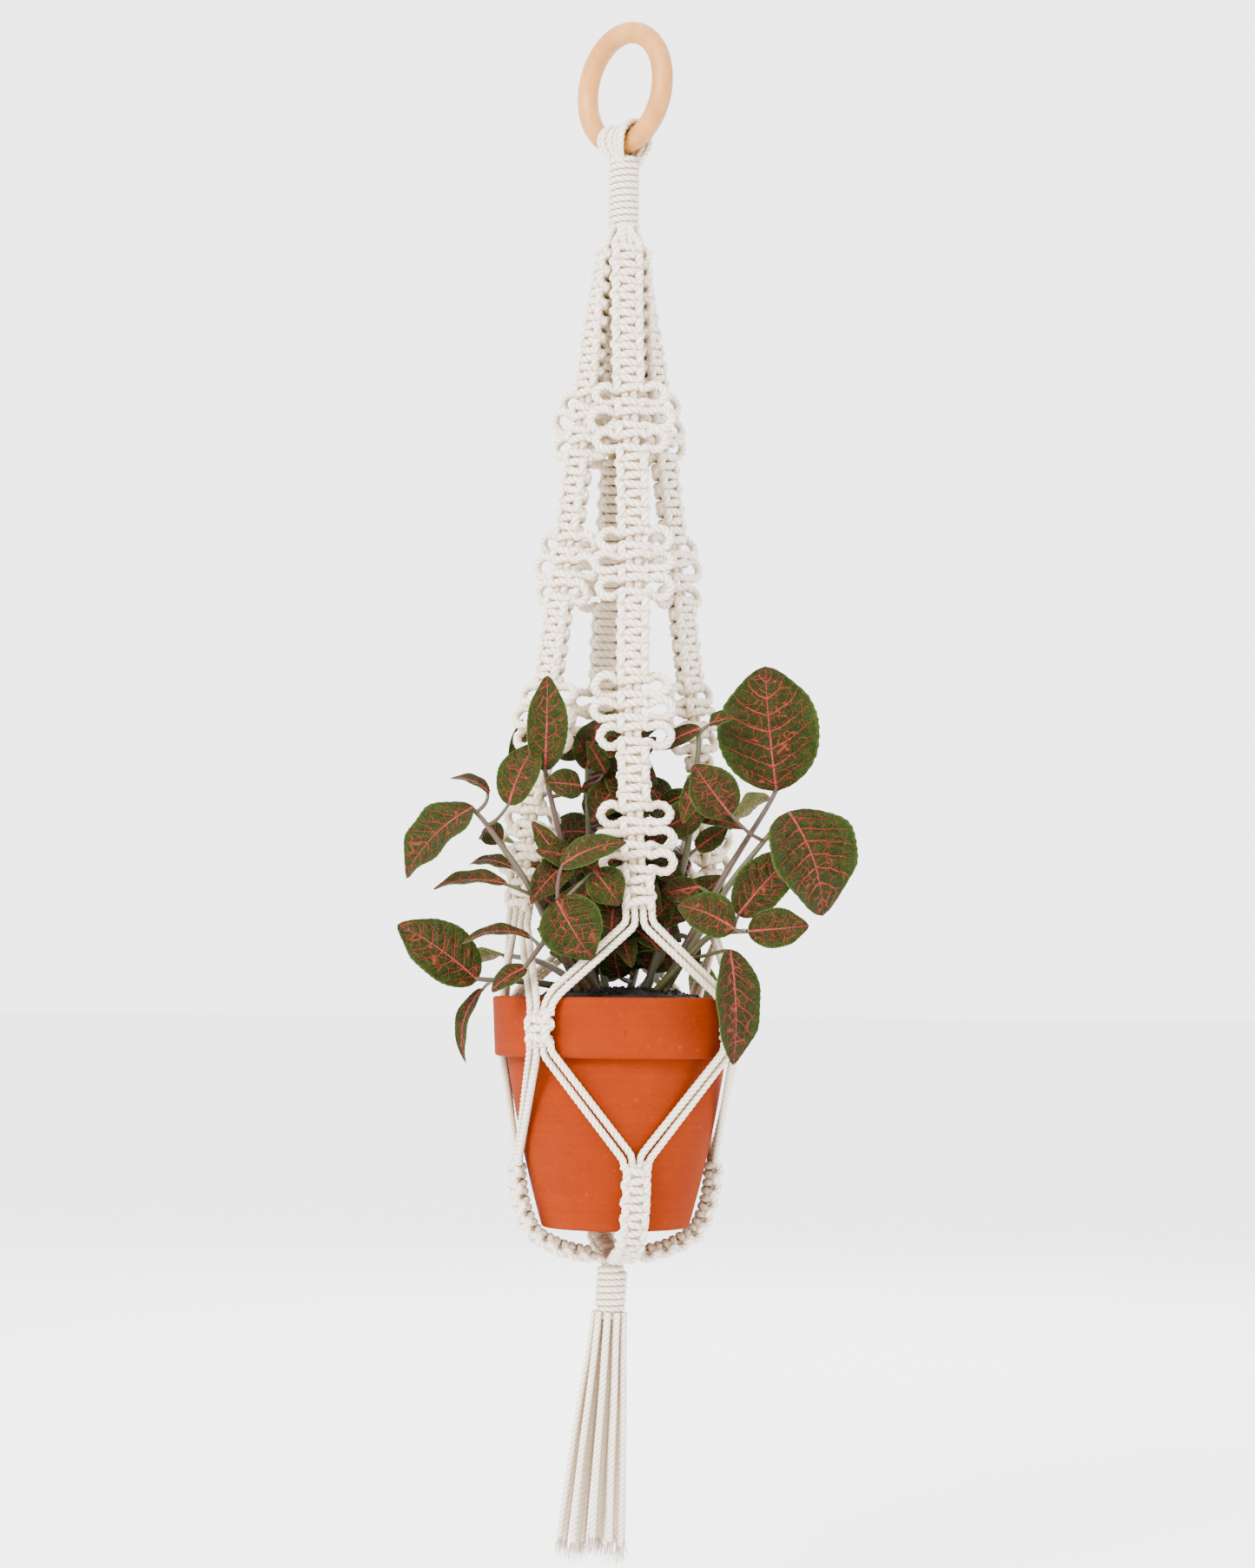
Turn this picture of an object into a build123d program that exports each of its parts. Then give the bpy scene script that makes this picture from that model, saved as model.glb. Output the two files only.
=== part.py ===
from build123d import *
import math
import os

# Hanging macrame planter, in millimetres. +Z is up. The origin is the hook's seat: the top of
# the ring's hole, where the hook's bend rests. The front arm is at -Y, and the others follow
# at quarter turns.

# ---- Driving dimensions -------------------------------------------------------------------
CORD_D = 3.8                      # twisted cotton cord

RING_OUTER_D = 68.6
RING_BAR_D = 11.0
RING_YAW = -59.0                  # the ring's plane, turned from +X about Z

LOOP_HALF_WIDTH = 10.0            # the eight cords side by side over the bar
LOOP_THICK = 3.4
LOOP_GAP = 0.4                    # between the loop and the bar
CORE_R = 5.8                      # sixteen cords pressed into a bundle
CORE_TUCK = 1.4                   # the core starts this far below the bar
CORE_TAIL = 2.0                   # and ends this far below the top wrap

WRAP_OUTER_R = 8.3
WRAP_ROOT_R = 7.0                 # bottom of the groove between two turns
WRAP_BORE_R = CORE_R + 0.05
WRAP_PITCH = 3.45
TOP_WRAP_TURNS = 10
TOP_WRAP_Z = -63.7
BOTTOM_WRAP_TURNS = 7

ARM_NAMES = ("front", "right", "back", "left")
ARM_ANGLES = (-90.0, 0.0, 90.0, 180.0)
ARM_TOP = (7.0, -100.6)           # radius and height of the arm's centre line
ARM_END = (52.0, -454.3)
ARM_WIDTH = 19.5
ARM_THICK = 9.0
ARM_NECK_WIDTH = 4.4
ARM_NECK_THICK = 8.0
ARM_TAPER = 60.0                  # length over which the arm widens
NECK_CORNER_R = 1.5
ARM_CORNER_R = 3.0

PICOT_CLUSTERS = (100.0, 176.0, 254.0, 320.0)   # along the arm
PICOT_STEP = 12.2
PICOT_BEND_R = 3.6
PICOT_LEGS = (1.2, 3.2, 1.2)      # small, large, small
PICOT_GAP = 0.05                  # between a picot's end and the arm's edge

RIM_TOP_Z = -498.7
RIM_R = 65.0
RIM_LOW_R = 63.6
RIM_H = 31.5
POT_H = 120.3
BODY_TOP_R = 57.3
BODY_MID_R = 49.4
BODY_LOW_R = 38.4
WALL = 5.5
RIM_WALL = 7.0
FLOOR = 8.0
DRAIN_R = 7.0
STEP_UP = 1.0                     # the rim's underside slopes up this much to the body
EDGE_R = 1.8                      # rounding of the rim and the foot

SOIL_EDGE_Z = RIM_TOP_Z - 4.5
SOIL_TOP_Z = RIM_TOP_Z + 4.0
MOUND_R = 26.0                    # the soil's flat top

KNOT_FACE_R = RIM_R + 0.6
KNOT_Z = -514.7
KNOT_SIZE = (17.0, 15.0, 8.5)     # across, high, thick
KNOT_EDGE_R = 2.0
CORD_SLOTS = (2.1, 6.3)           # cord places each side of a knot's middle

ARM_SLOTS = (2.2, 6.6)            # cord places each side of an arm's middle
OVER_RIM_R = 67.5                 # the net's cords pass the rim here
OVER_RIM_TURN = 2.5               # degrees short of their places at the knot
OVER_RIM_UP = (1.2, 3.2)          # near and far cord, above the rim
ARM_BEND = 4.0                    # from the arm's end to a far cord's bend
KNOT_RUN = 4.0                    # straight run of a cord into a knot or a strap
KNOT_RUN_NEAR = 3.5
BEND_STAGGER = 2.0                # keeps the two slanting cords of a pair apart

STRAP_WIDTH = 17.0
STRAP_THICK = 8.0
STRAP_TOP = (52.2, -585.4)
STRAP_CORNER_R = 9.0
STRAP_LINE = (
    STRAP_TOP,
    (52.2, -592.0),
    (50.2, -606.0),
    (44.2, -622.2),
    (27.5, -630.8),
    (12.0, -633.6),
)

PIVOT = Vector(-1.0, 0.0, -636.0)  # where the tassel hangs from the cradle
TASSEL_LEAN = 3.4                 # degrees, towards -X
DOME_R = 8.0
WRAP_DROP = 3.0                   # from the pivot to the bottom wrap
STRAND_GAP = 0.2                  # between the bottom wrap and the strands
STRAND_DROP = WRAP_DROP + BOTTOM_WRAP_TURNS * WRAP_PITCH + STRAND_GAP
PART_GAP = 0.1                    # between solids of one body that rest on each other

PLANT_TURN = -11.5                # the plant's own across axis, turned from +X
STEM_D = 2.4
LEAF_THICK = 0.8
LEAF_WIDEST = 0.45                # share of the blade's length

# ---- Small helpers ------------------------------------------------------------------------


def polar(radius, angle, z):
    """A point from its radius, its angle in degrees and its height."""
    turn = math.radians(angle)
    return Vector(radius * math.cos(turn), radius * math.sin(turn), z)


def outward(angle):
    return polar(1.0, angle, 0.0)


def tangent(angle):
    return polar(1.0, angle + 90.0, 0.0)


def corner_radii(points):
    """The largest tangent arc that each corner's two runs allow."""
    radii = []
    for before, here, after in zip(points, points[1:], points[2:]):
        run_in = here - before
        run_out = after - here
        half_turn = math.radians(run_in.get_angle(run_out)) / 2
        radii.append(0.45 * min(run_in.length, run_out.length) / math.tan(half_turn))
    return radii


def tube(points, diameter):
    """A round cord or stem along straight runs joined by tangent arcs."""
    radii = corner_radii(points)
    with BuildPart() as made:
        with BuildLine() as route:
            FilletPolyline(*points, radius=radii)
        path = route.wire()
        with BuildSketch(Plane(origin=path @ 0, z_dir=path % 0)):
            Circle(diameter / 2)
        sweep(path=path)
    ideal = math.pi * diameter ** 2 / 4 * path.length
    if abs(made.part.volume / ideal - 1) > 0.01:
        raise ValueError("a tube's volume differs from its section times its length")
    return made.part, path.length, min(radii)


def keep(part, label):
    part.label = label
    export_step(part, f"parts/{label}.step")


os.makedirs("parts", exist_ok=True)

# ---- Wooden ring, root of the assembly ----------------------------------------------------
ring_radius = (RING_OUTER_D - RING_BAR_D) / 2
ring_centre = Vector(0, 0, -(RING_OUTER_D / 2 - RING_BAR_D))
ring_low = ring_centre - Vector(0, 0, ring_radius)
ring_along = outward(RING_YAW)
ring_plane = Plane(origin=ring_centre, x_dir=ring_along, z_dir=(0, 0, 1))

with BuildPart() as wooden_ring:
    with BuildSketch(ring_plane):
        with Locations((ring_radius, 0)):
            Circle(RING_BAR_D / 2)
    revolve(axis=Axis(ring_centre, ring_plane.y_dir))
keep(wooden_ring.part, "wooden_ring")

# ---- Hanging loop round the bar, with the bundled core below ------------------------------
# The band is concentric with the bar's lowest point, so that it can swing round it.
loop_plane = Plane(origin=ring_low, x_dir=ring_along, z_dir=(0, 0, 1))
inner_arc_r = RING_OUTER_D / 2 - RING_BAR_D - LOOP_GAP
outer_arc_r = inner_arc_r - LOOP_THICK


def loop_reach(arc_radius, across):
    """Distance from the hinge line to an arc that is concentric with the ring."""
    return ring_radius - math.sqrt(arc_radius ** 2 - across ** 2)


inner_ends = loop_reach(inner_arc_r, LOOP_HALF_WIDTH)
outer_ends = loop_reach(outer_arc_r, LOOP_HALF_WIDTH)
core_top_z = ring_low.Z - RING_BAR_D / 2 - CORE_TUCK
core_low_z = TOP_WRAP_Z - TOP_WRAP_TURNS * WRAP_PITCH - CORE_TAIL

with BuildPart() as hanging_loop:
    with BuildSketch(loop_plane):
        with BuildLine():
            left_in = (-LOOP_HALF_WIDTH, inner_ends)
            right_in = (LOOP_HALF_WIDTH, inner_ends)
            left_out = (-LOOP_HALF_WIDTH, outer_ends)
            right_out = (LOOP_HALF_WIDTH, outer_ends)
            ThreePointArc(left_in, (0, loop_reach(inner_arc_r, 0)), right_in)
            Line(right_in, right_out)
            ThreePointArc(right_out, (0, loop_reach(outer_arc_r, 0)), left_out)
            Line(left_out, left_in)
        make_face()
    revolve(axis=Axis(ring_low, ring_along))
    with BuildSketch(Plane.XY.offset(core_low_z)):
        Circle(CORE_R)
    extrude(amount=core_top_z - core_low_z)
keep(hanging_loop.part, "hanging_loop")

# ---- The two wraps ------------------------------------------------------------------------


def wrap(plane, turns):
    """A tight coil of cord round the core, as a grooved sleeve that hangs from the plane."""
    with BuildPart() as made:
        with BuildSketch(plane):
            with BuildLine():
                for turn in range(turns):
                    top = -turn * WRAP_PITCH
                    low = top - WRAP_PITCH
                    middle = (WRAP_OUTER_R, (top + low) / 2)
                    ThreePointArc((WRAP_ROOT_R, top), middle, (WRAP_ROOT_R, low))
                end = -turns * WRAP_PITCH
                Polyline((WRAP_ROOT_R, end), (WRAP_BORE_R, end), (WRAP_BORE_R, 0), (WRAP_ROOT_R, 0))
            make_face()
        revolve(axis=Axis(plane.origin, plane.y_dir))
    return made.part


top_wrap_plane = Plane(origin=(0, 0, TOP_WRAP_Z), x_dir=(1, 0, 0), z_dir=(0, -1, 0))
keep(wrap(top_wrap_plane, TOP_WRAP_TURNS), "top_wrap")

# ---- Arms and their picots ----------------------------------------------------------------
arm_run = math.dist(ARM_TOP, ARM_END)


def arm_plane(angle, along=0.0):
    """Across the arm: x runs along its width, z down its length."""
    start = polar(ARM_TOP[0], angle, ARM_TOP[1])
    end = polar(ARM_END[0], angle, ARM_END[1])
    down = (end - start).normalized()
    return Plane(origin=start + down * along, x_dir=tangent(angle), z_dir=down)


def picot(leg):
    """One loop of cord, standing out along +X from the arm's edge."""
    with BuildPart() as made:
        with BuildLine() as route:
            Line((0, 0, -PICOT_BEND_R), (leg, 0, -PICOT_BEND_R))
            bend = (leg + PICOT_BEND_R, 0, 0)
            ThreePointArc((leg, 0, -PICOT_BEND_R), bend, (leg, 0, PICOT_BEND_R))
            Line((leg, 0, PICOT_BEND_R), (0, 0, PICOT_BEND_R))
        with BuildSketch(Plane(origin=(0, 0, -PICOT_BEND_R), z_dir=(1, 0, 0))):
            Circle(CORD_D / 2)
        sweep(path=route.wire())
    return made.part


picots = [picot(leg) for leg in PICOT_LEGS]

for name, angle in zip(ARM_NAMES, ARM_ANGLES):
    with BuildPart() as arm:
        with BuildSketch(arm_plane(angle)):
            RectangleRounded(ARM_NECK_WIDTH, ARM_NECK_THICK, NECK_CORNER_R)
        with BuildSketch(arm_plane(angle, ARM_TAPER)):
            RectangleRounded(ARM_WIDTH, ARM_THICK, ARM_CORNER_R)
        loft()
        with BuildSketch(arm_plane(angle, ARM_TAPER)):
            RectangleRounded(ARM_WIDTH, ARM_THICK, ARM_CORNER_R)
        extrude(amount=arm_run - ARM_TAPER)
    keep(arm.part, f"arm_{name}")

    with BuildPart() as loops:
        for cluster in PICOT_CLUSTERS:
            for shape, step in zip(picots, (-PICOT_STEP, 0.0, PICOT_STEP)):
                middle = arm_plane(angle, cluster + step)
                for side in (-1, 1):
                    edge = middle.origin + middle.x_dir * (side * (ARM_WIDTH / 2 + PICOT_GAP))
                    place = Plane(origin=edge, x_dir=middle.x_dir * side, z_dir=middle.z_dir)
                    with Locations(place):
                        add(shape)
    keep(loops.part, f"picots_{name}")

# ---- Net: knots on the rim, with cord pairs above and below -------------------------------
knot_mid_r = KNOT_FACE_R + KNOT_SIZE[2] / 2
knot_top_z = KNOT_Z + KNOT_SIZE[1] / 2
knot_low_z = KNOT_Z - KNOT_SIZE[1] / 2


def knot_point(angle, slot, z):
    return polar(knot_mid_r, angle, z) + tangent(angle) * slot


def strap_point(angle, slot, z):
    return polar(STRAP_TOP[0], angle, z) + tangent(angle) * slot


for name, angle in zip(ARM_NAMES, ARM_ANGLES):
    next_name = ARM_NAMES[(ARM_NAMES.index(name) + 1) % 4]
    knot_angle = angle + 45.0
    face_middle = polar(KNOT_FACE_R, knot_angle, KNOT_Z)
    face = Plane(origin=face_middle, x_dir=tangent(knot_angle), z_dir=outward(knot_angle))
    with BuildPart() as knot:
        with BuildSketch(face):
            Rectangle(KNOT_SIZE[0], KNOT_SIZE[1])
        extrude(amount=KNOT_SIZE[2])
        outer_face = knot.faces().sort_by(Axis(face.origin, face.z_dir))[-1]
        fillet(outer_face.edges(), radius=KNOT_EDGE_R)
    keep(knot.part, f"net_knot_{name}_{next_name}")

for name, angle in zip(ARM_NAMES, ARM_ANGLES):
    for side, hand in ((1, "a"), (-1, "b")):
        knot_angle = angle + side * 45.0
        upper = []
        lower = []
        # far is the cord on the knot's side of the pair, at the arm and at the strap.
        for far in (True, False):
            knot_slot = -side * CORD_SLOTS[not far]
            end = arm_plane(angle, arm_run)
            leave = end.origin + end.x_dir * (side * ARM_SLOTS[far])
            bend = leave + end.z_dir * (ARM_BEND + BEND_STAGGER * (not far))
            slot_turn = math.degrees(knot_slot / knot_mid_r)
            rim_angle = knot_angle + slot_turn - side * OVER_RIM_TURN
            over_rim = polar(OVER_RIM_R, rim_angle, RIM_TOP_Z + OVER_RIM_UP[far])
            last_run = knot_point(knot_angle, knot_slot, knot_top_z + KNOT_RUN)
            into_knot = knot_point(knot_angle, knot_slot, knot_top_z)
            upper.append(tube([leave, bend, over_rim, last_run, into_knot], CORD_D)[0])

            strap_slot = side * CORD_SLOTS[far]
            first_run = KNOT_RUN + BEND_STAGGER if far else KNOT_RUN_NEAR
            strap_run = KNOT_RUN_NEAR if far else KNOT_RUN + BEND_STAGGER
            lower.append(tube([knot_point(knot_angle, knot_slot, knot_low_z),
                               knot_point(knot_angle, knot_slot, knot_low_z - first_run),
                               strap_point(angle, strap_slot, STRAP_TOP[1] + strap_run),
                               strap_point(angle, strap_slot, STRAP_TOP[1])], CORD_D)[0])
        for cords, level in ((upper, "upper"), (lower, "lower")):
            with BuildPart() as pair:
                add(cords)
            keep(pair.part, f"net_{level}_{name}_{hand}")

# ---- Cradle straps ------------------------------------------------------------------------
for name, angle in zip(ARM_NAMES, ARM_ANGLES):
    side_plane = Plane(origin=(0, 0, 0), x_dir=outward(angle), z_dir=-tangent(angle))
    with BuildPart() as strap:
        with BuildSketch(side_plane):
            with BuildLine() as route:
                FilletPolyline(*STRAP_LINE, radius=STRAP_CORNER_R)
            trace(line_width=STRAP_THICK)
        extrude(amount=STRAP_WIDTH / 2, both=True)
    keep(strap.part, f"cradle_strap_{name}")

# ---- Gathered core, bottom wrap and tassel ------------------------------------------------
lean = math.radians(TASSEL_LEAN)
tassel_down = Vector(-math.sin(lean), 0, -math.cos(lean))
tassel_across = Vector(math.cos(lean), 0, -math.sin(lean))
tassel_plane = Plane(origin=PIVOT, x_dir=tassel_across, z_dir=tassel_down)

with BuildPart() as gathered_core:
    with Locations(tassel_plane):
        Sphere(DOME_R)
    split(bisect_by=tassel_plane.offset(WRAP_DROP - PART_GAP), keep=Keep.BOTTOM)
    with BuildSketch(tassel_plane):
        Circle(CORE_R)
    extrude(amount=STRAND_DROP - PART_GAP)
keep(gathered_core.part, "gathered_core")

wrap_plane = Plane(origin=PIVOT + tassel_down * WRAP_DROP, x_dir=tassel_across, z_dir=(0, -1, 0))
keep(wrap(wrap_plane, BOTTOM_WRAP_TURNS), "bottom_wrap")

# Each strand's route, chosen by eye: radius, angle in degrees, and drop below the bundle.
STRANDS = (
    ((0.0, 0, 0), (0.3, 200, 15), (0.9, 170, 44), (0.8, 250, 82), (1.8, 210, 118)),
    ((3.9, 18, 0), (4.3, 19, 16), (5.6, 22, 45), (7.0, 18, 83), (8.4, 24, 121)),
    ((3.9, 90, 0), (4.2, 90, 14), (5.9, 87, 43), (7.2, 92, 80), (9.4, 90, 117)),
    ((3.9, 162, 0), (4.4, 163, 15), (6.3, 160, 44), (8.2, 165, 82), (9.6, 162, 120)),
    ((3.9, 234, 0), (4.3, 234, 16), (5.8, 238, 46), (7.6, 235, 84), (9.0, 240, 122)),
    ((3.9, 306, 0), (4.2, 306, 15), (5.6, 303, 43), (7.4, 308, 81), (8.8, 305, 119)),
    ((7.8, 0, 0), (8.3, 0, 15), (10.4, 2, 44), (12.6, 1, 81), (14.6, 4, 120)),
    ((7.8, 36, 0), (8.4, 36, 16), (10.8, 38, 46), (13.4, 37, 83), (15.2, 41, 121)),
    ((7.8, 72, 0), (8.2, 72, 14), (10.2, 70, 43), (12.2, 73, 81), (14.8, 71, 118)),
    ((7.8, 108, 0), (8.4, 108, 15), (10.9, 107, 45), (13.6, 109, 82), (15.6, 106, 116)),
    ((7.8, 144, 0), (8.5, 144, 16), (11.6, 143, 46), (14.8, 145, 83), (17.2, 142, 120)),
    ((7.8, 180, 0), (8.6, 180, 15), (12.0, 181, 44), (15.6, 179, 82), (18.2, 182, 119)),
    ((7.8, 216, 0), (8.5, 216, 16), (11.8, 217, 46), (15.0, 215, 84), (17.6, 219, 122)),
    ((7.8, 252, 0), (8.3, 252, 15), (11.0, 250, 44), (13.8, 253, 81), (16.0, 251, 117)),
    ((7.8, 288, 0), (8.4, 288, 14), (10.6, 290, 43), (13.0, 288, 81), (15.0, 291, 120)),
    ((7.8, 324, 0), (8.2, 324, 15), (10.4, 323, 45), (12.8, 326, 82), (14.6, 323, 118)),
)

for number, route in enumerate(STRANDS, start=1):
    points = [tassel_plane.from_local_coords(polar(radius, angle, STRAND_DROP + drop))
              for radius, angle, drop in route]
    strand, length, tightest = tube(points, CORD_D)
    print(f"strand {number}: length {length:.1f}, smallest arc {tightest:.0f}")
    keep(strand, f"tassel_strand_{number:02d}")

# ---- Pot and soil -------------------------------------------------------------------------
rim_low_z = RIM_TOP_Z - RIM_H
pot_low_z = RIM_TOP_Z - POT_H
side_profile = Plane(origin=(0, 0, 0), x_dir=(1, 0, 0), z_dir=(0, -1, 0))
inner_top_r = RIM_R - RIM_WALL
inner_low_r = BODY_LOW_R - WALL
floor_z = pot_low_z + FLOOR

with BuildPart() as pot:
    with BuildSketch(side_profile):
        with BuildLine():
            Polyline((DRAIN_R, floor_z), (DRAIN_R, pot_low_z), (BODY_LOW_R, pot_low_z))
            body_middle = (BODY_MID_R, (rim_low_z + pot_low_z) / 2)
            ThreePointArc((BODY_LOW_R, pot_low_z), body_middle, (BODY_TOP_R, rim_low_z + STEP_UP))
            Polyline((BODY_TOP_R, rim_low_z + STEP_UP), (RIM_LOW_R, rim_low_z), (RIM_R, RIM_TOP_Z),
                     (inner_top_r, RIM_TOP_Z), (inner_low_r, floor_z), (DRAIN_R, floor_z))
        make_face()
        rounded = [corner for corner in vertices()
                   if any(abs(corner.X - radius) < 0.01 for radius in (BODY_LOW_R, RIM_LOW_R, RIM_R))]
        fillet(rounded, radius=EDGE_R)
    revolve(axis=Axis.Z)
keep(pot.part, "pot")

wall_slope = (inner_top_r - inner_low_r) / (RIM_TOP_Z - floor_z)
soil_edge_r = inner_top_r - (RIM_TOP_Z - SOIL_EDGE_Z) * wall_slope - PART_GAP

with BuildPart() as soil:
    with BuildSketch(side_profile):
        with BuildLine():
            soil_low = (inner_low_r - PART_GAP, floor_z + PART_GAP)
            Polyline((0, SOIL_TOP_Z), (0, floor_z + PART_GAP), soil_low, (soil_edge_r, SOIL_EDGE_Z),
                     (MOUND_R, SOIL_TOP_Z), (0, SOIL_TOP_Z))
        make_face()
    revolve(axis=Axis.Z)
keep(soil.part, "soil")

# ---- Plant --------------------------------------------------------------------------------
# The plant stands in its own frame: across, out towards the front, and up from the rim.


def plant_vector(across, out, up):
    turn = math.radians(PLANT_TURN)
    x = across * math.cos(turn) + out * math.sin(turn)
    y = across * math.sin(turn) - out * math.cos(turn)
    return Vector(x, y, up)


def plant_point(across, out, up):
    return plant_vector(across, out, up) + Vector(0, 0, RIM_TOP_Z)


# Each leaf: where the blade starts, its tip, its width, the way its face looks, and the point
# that its stem passes on the way up from the soil.
LEAVES = {
    "leaves_left": (
        ((-38, 42, 115), (-37, 42, 164), 21, (0.2, 1, 0.1), (-27, 32, 70)),
        ((-55, -17, 118), (-50, -14, 148), 13, (0.3, 1, 0), (-44, -22, 90)),
        ((-56, 50, 97), (-43, 47, 131), 21, (-0.2, 1, 0.3), (-40, 38, 62)),
        ((-66, 36, 104), (-86, 33, 113), 10, (0, 0.5, 1), (-42, 44, 72)),
        ((-74, 38, 97), (-110, 40, 62), 28, (-0.3, 0.8, 0.6), (-46, 42, 58)),
        ((-60, 24, 80), (-71, 19, 87), 13, (0, 1, 0.2), (-44, 40, 54)),
        ((-56, 46, 57), (-94, 44, 55), 14, (0, 0.6, 1), (-34, 34, 34)),
        ((-54, 30, 66), (-76, 27, 72), 12, (0, 0.6, 1), (-36, 30, 42)),
        ((-44, 51, 30), (-79, 53, 29), 12, (0, 0.5, 1), (-26, 32, 18)),
        ((-72, 20, 8), (-113, 26, 37), 30, (-0.2, 1, 0.5), (-46, 12, 8)),
        ((-46, 56, 15), (-64, 60, 4), 12, (-0.2, 0.8, 0.5), (-34, 46, 34)),
        ((-70, 5, 4), (-84, 8, -33), 10, (-0.6, 0.7, 0.3), (-46, 2, 7)),
    ),
    "leaves_middle": (
        ((-22, 6, 118), (-14, 4, 146), 21, (0, 1, 0), (-14, 6, 60)),
        ((-29, 64, 66), (3, 68, 80), 16, (0, 1, 0.6), (-32, 46, 38)),
        ((-12, 57, 64), (1, 60, 47), 20, (0, 1, 0.2), (-20, 42, 48)),
        ((-31, 62, 49), (-13, 66, 20), 32, (0, 1, 0.1), (-24, 39, 26)),
        ((38, 12, 68), (24, 14, 73), 8, (0, 1, 0.5), (24, 8, 40)),
        ((42, 34, 57), (22, 30, 53), 13, (0, 1, 0.1), (44, 30, 30)),
        ((40, 14, 30), (38, 12, 13), 9, (0.2, 1, 0), (31, 11, 36)),
    ),
    "leaves_right": (
        ((82, 14, 107), (76, 6, 173), 52, (-0.15, 1, 0.15), (54, 28, 62)),
        ((87, 38, 96), (108, 48, 46), 47, (0.2, 1, 0.5), (58, 36, 60)),
        ((57, 51, 93), (38, 56, 118), 25, (0, 1, 0.2), (44, 34, 50)),
        ((41, 46, 115), (32, 51, 89), 11, (-0.3, 1, 0), (38, 32, 72)),
        ((42, 27, 139), (20, 22, 129), 10, (0, 1, 0.4), (36, 20, 76)),
        ((46, 29, 141), (58, 32, 144), 11, (0, 0.7, 0.7), (39, 19, 80)),
        ((38, 26, 93), (65, 28, 88), 9, (0, 1, 0.5), (30, 14, 50)),
        ((61, 44, 42), (91, 42, 75), 26, (-0.2, 1, 0.2), (42, 30, 28)),
        ((59, 62, 35), (31, 64, 48), 22, (0, 1, 0.2), (38, 42, 42)),
        ((66, 52, 34), (97, 54, 37), 21, (0, 1, 0.3), (48, 36, 34)),
        ((57, 56, 25), (60, 56, -34), 26, (0.5, 0.85, 0.1), (42, 44, 38)),
    ),
    "leaves_back": (
        ((-48, -32, 75), (-74, -48, 86), 25, (-0.3, -0.4, 0.9), (-26, -17, 42)),
        ((32, -48, 70), (50, -75, 80), 25, (0.3, -0.4, 0.9), (16, -25, 40)),
        ((-42, -34, 106), (-47, -37, 146), 19, (-0.5, -0.8, 0), (-24, -22, 70)),
        ((44, -66, 20), (47, -70, -24), 20, (0.5, -0.8, 0.3), (26, -40, 16)),
        ((60, -46, 92), (82, -56, 108), 24, (0.3, -0.5, 0.9), (36, -36, 52)),
        ((-60, -38, 22), (-86, -50, 9), 21, (-0.3, -0.4, 0.9), (-38, -24, 18)),
    ),
}
ROOT_SCALE = 0.42                 # the stems start this far out towards their passing points
ROOT_UP = 5.6                     # clear of the soil's flat top, however the stem leans
STEM_GAP = 3.6                    # between a stem's end and its blade

stem_parts = []
for group, leaves in LEAVES.items():
    with BuildPart() as blades:
        for base, tip, width, face, _ in leaves:
            start = plant_point(*base)
            rib = plant_point(*tip) - start
            across = plant_vector(*face).cross(rib).normalized()
            blade_plane = Plane(origin=start, x_dir=rib, z_dir=rib.cross(across))
            widest = rib.length * LEAF_WIDEST
            with BuildSketch(blade_plane):
                with BuildLine():
                    ThreePointArc((0, 0), (widest, width / 2), (rib.length, 0))
                    ThreePointArc((0, 0), (widest, -width / 2), (rib.length, 0))
                make_face()
            extrude(amount=LEAF_THICK / 2, both=True)
    keep(blades.part, group)

    for base, tip, _, _, passing in leaves:
        end = plant_point(*base)
        through = plant_point(*passing)
        root = plant_point(passing[0] * ROOT_SCALE, passing[1] * ROOT_SCALE, ROOT_UP)
        end = end - (end - through).normalized() * STEM_GAP
        stem_parts.append(tube([root, through, end], STEM_D)[0])

with BuildPart() as stems:
    add(stem_parts)
keep(stems.part, "stems")
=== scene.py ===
import math

import bpy
import numpy as np
from mathutils import Matrix, Vector


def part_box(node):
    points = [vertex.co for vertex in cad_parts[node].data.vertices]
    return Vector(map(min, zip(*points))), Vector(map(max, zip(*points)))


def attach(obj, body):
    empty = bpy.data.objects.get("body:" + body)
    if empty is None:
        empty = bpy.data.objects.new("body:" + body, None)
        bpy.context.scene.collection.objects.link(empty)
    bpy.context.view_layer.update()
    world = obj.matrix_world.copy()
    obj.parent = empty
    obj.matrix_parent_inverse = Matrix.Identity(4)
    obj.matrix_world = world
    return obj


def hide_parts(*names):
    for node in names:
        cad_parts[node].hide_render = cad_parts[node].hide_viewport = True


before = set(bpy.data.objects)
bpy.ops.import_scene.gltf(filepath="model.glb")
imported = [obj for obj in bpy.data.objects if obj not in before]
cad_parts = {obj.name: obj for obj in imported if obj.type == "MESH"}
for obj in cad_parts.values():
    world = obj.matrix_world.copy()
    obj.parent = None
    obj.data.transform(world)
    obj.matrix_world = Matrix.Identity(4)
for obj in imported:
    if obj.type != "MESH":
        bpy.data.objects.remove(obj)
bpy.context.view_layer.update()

# A hanging macrame planter. Lengths below are in millimetres, and become metres when a mesh is
# made. +Z is up, the hook's seat is the origin and the front arm is at -Y.
MM = 0.001
random = np.random.default_rng(41)

# ---- Driving dimensions, as in the CAD part -------------------------------------------------
CORD_D = 3.8
ROPE_LAY = 9.0                    # length of one turn of the cord's three plies
RING_STEP = 0.9                   # between two rings of a cord's mesh
FINE_STEP = 0.45                  # between two points of a line while it is rounded
CORD_SIDES = 12
CORDS = 16                        # gathered in each wrap
BUNDLED_CORD_R = 0.9 * CORD_D / 2   # cords pressed together in a wrap

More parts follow.
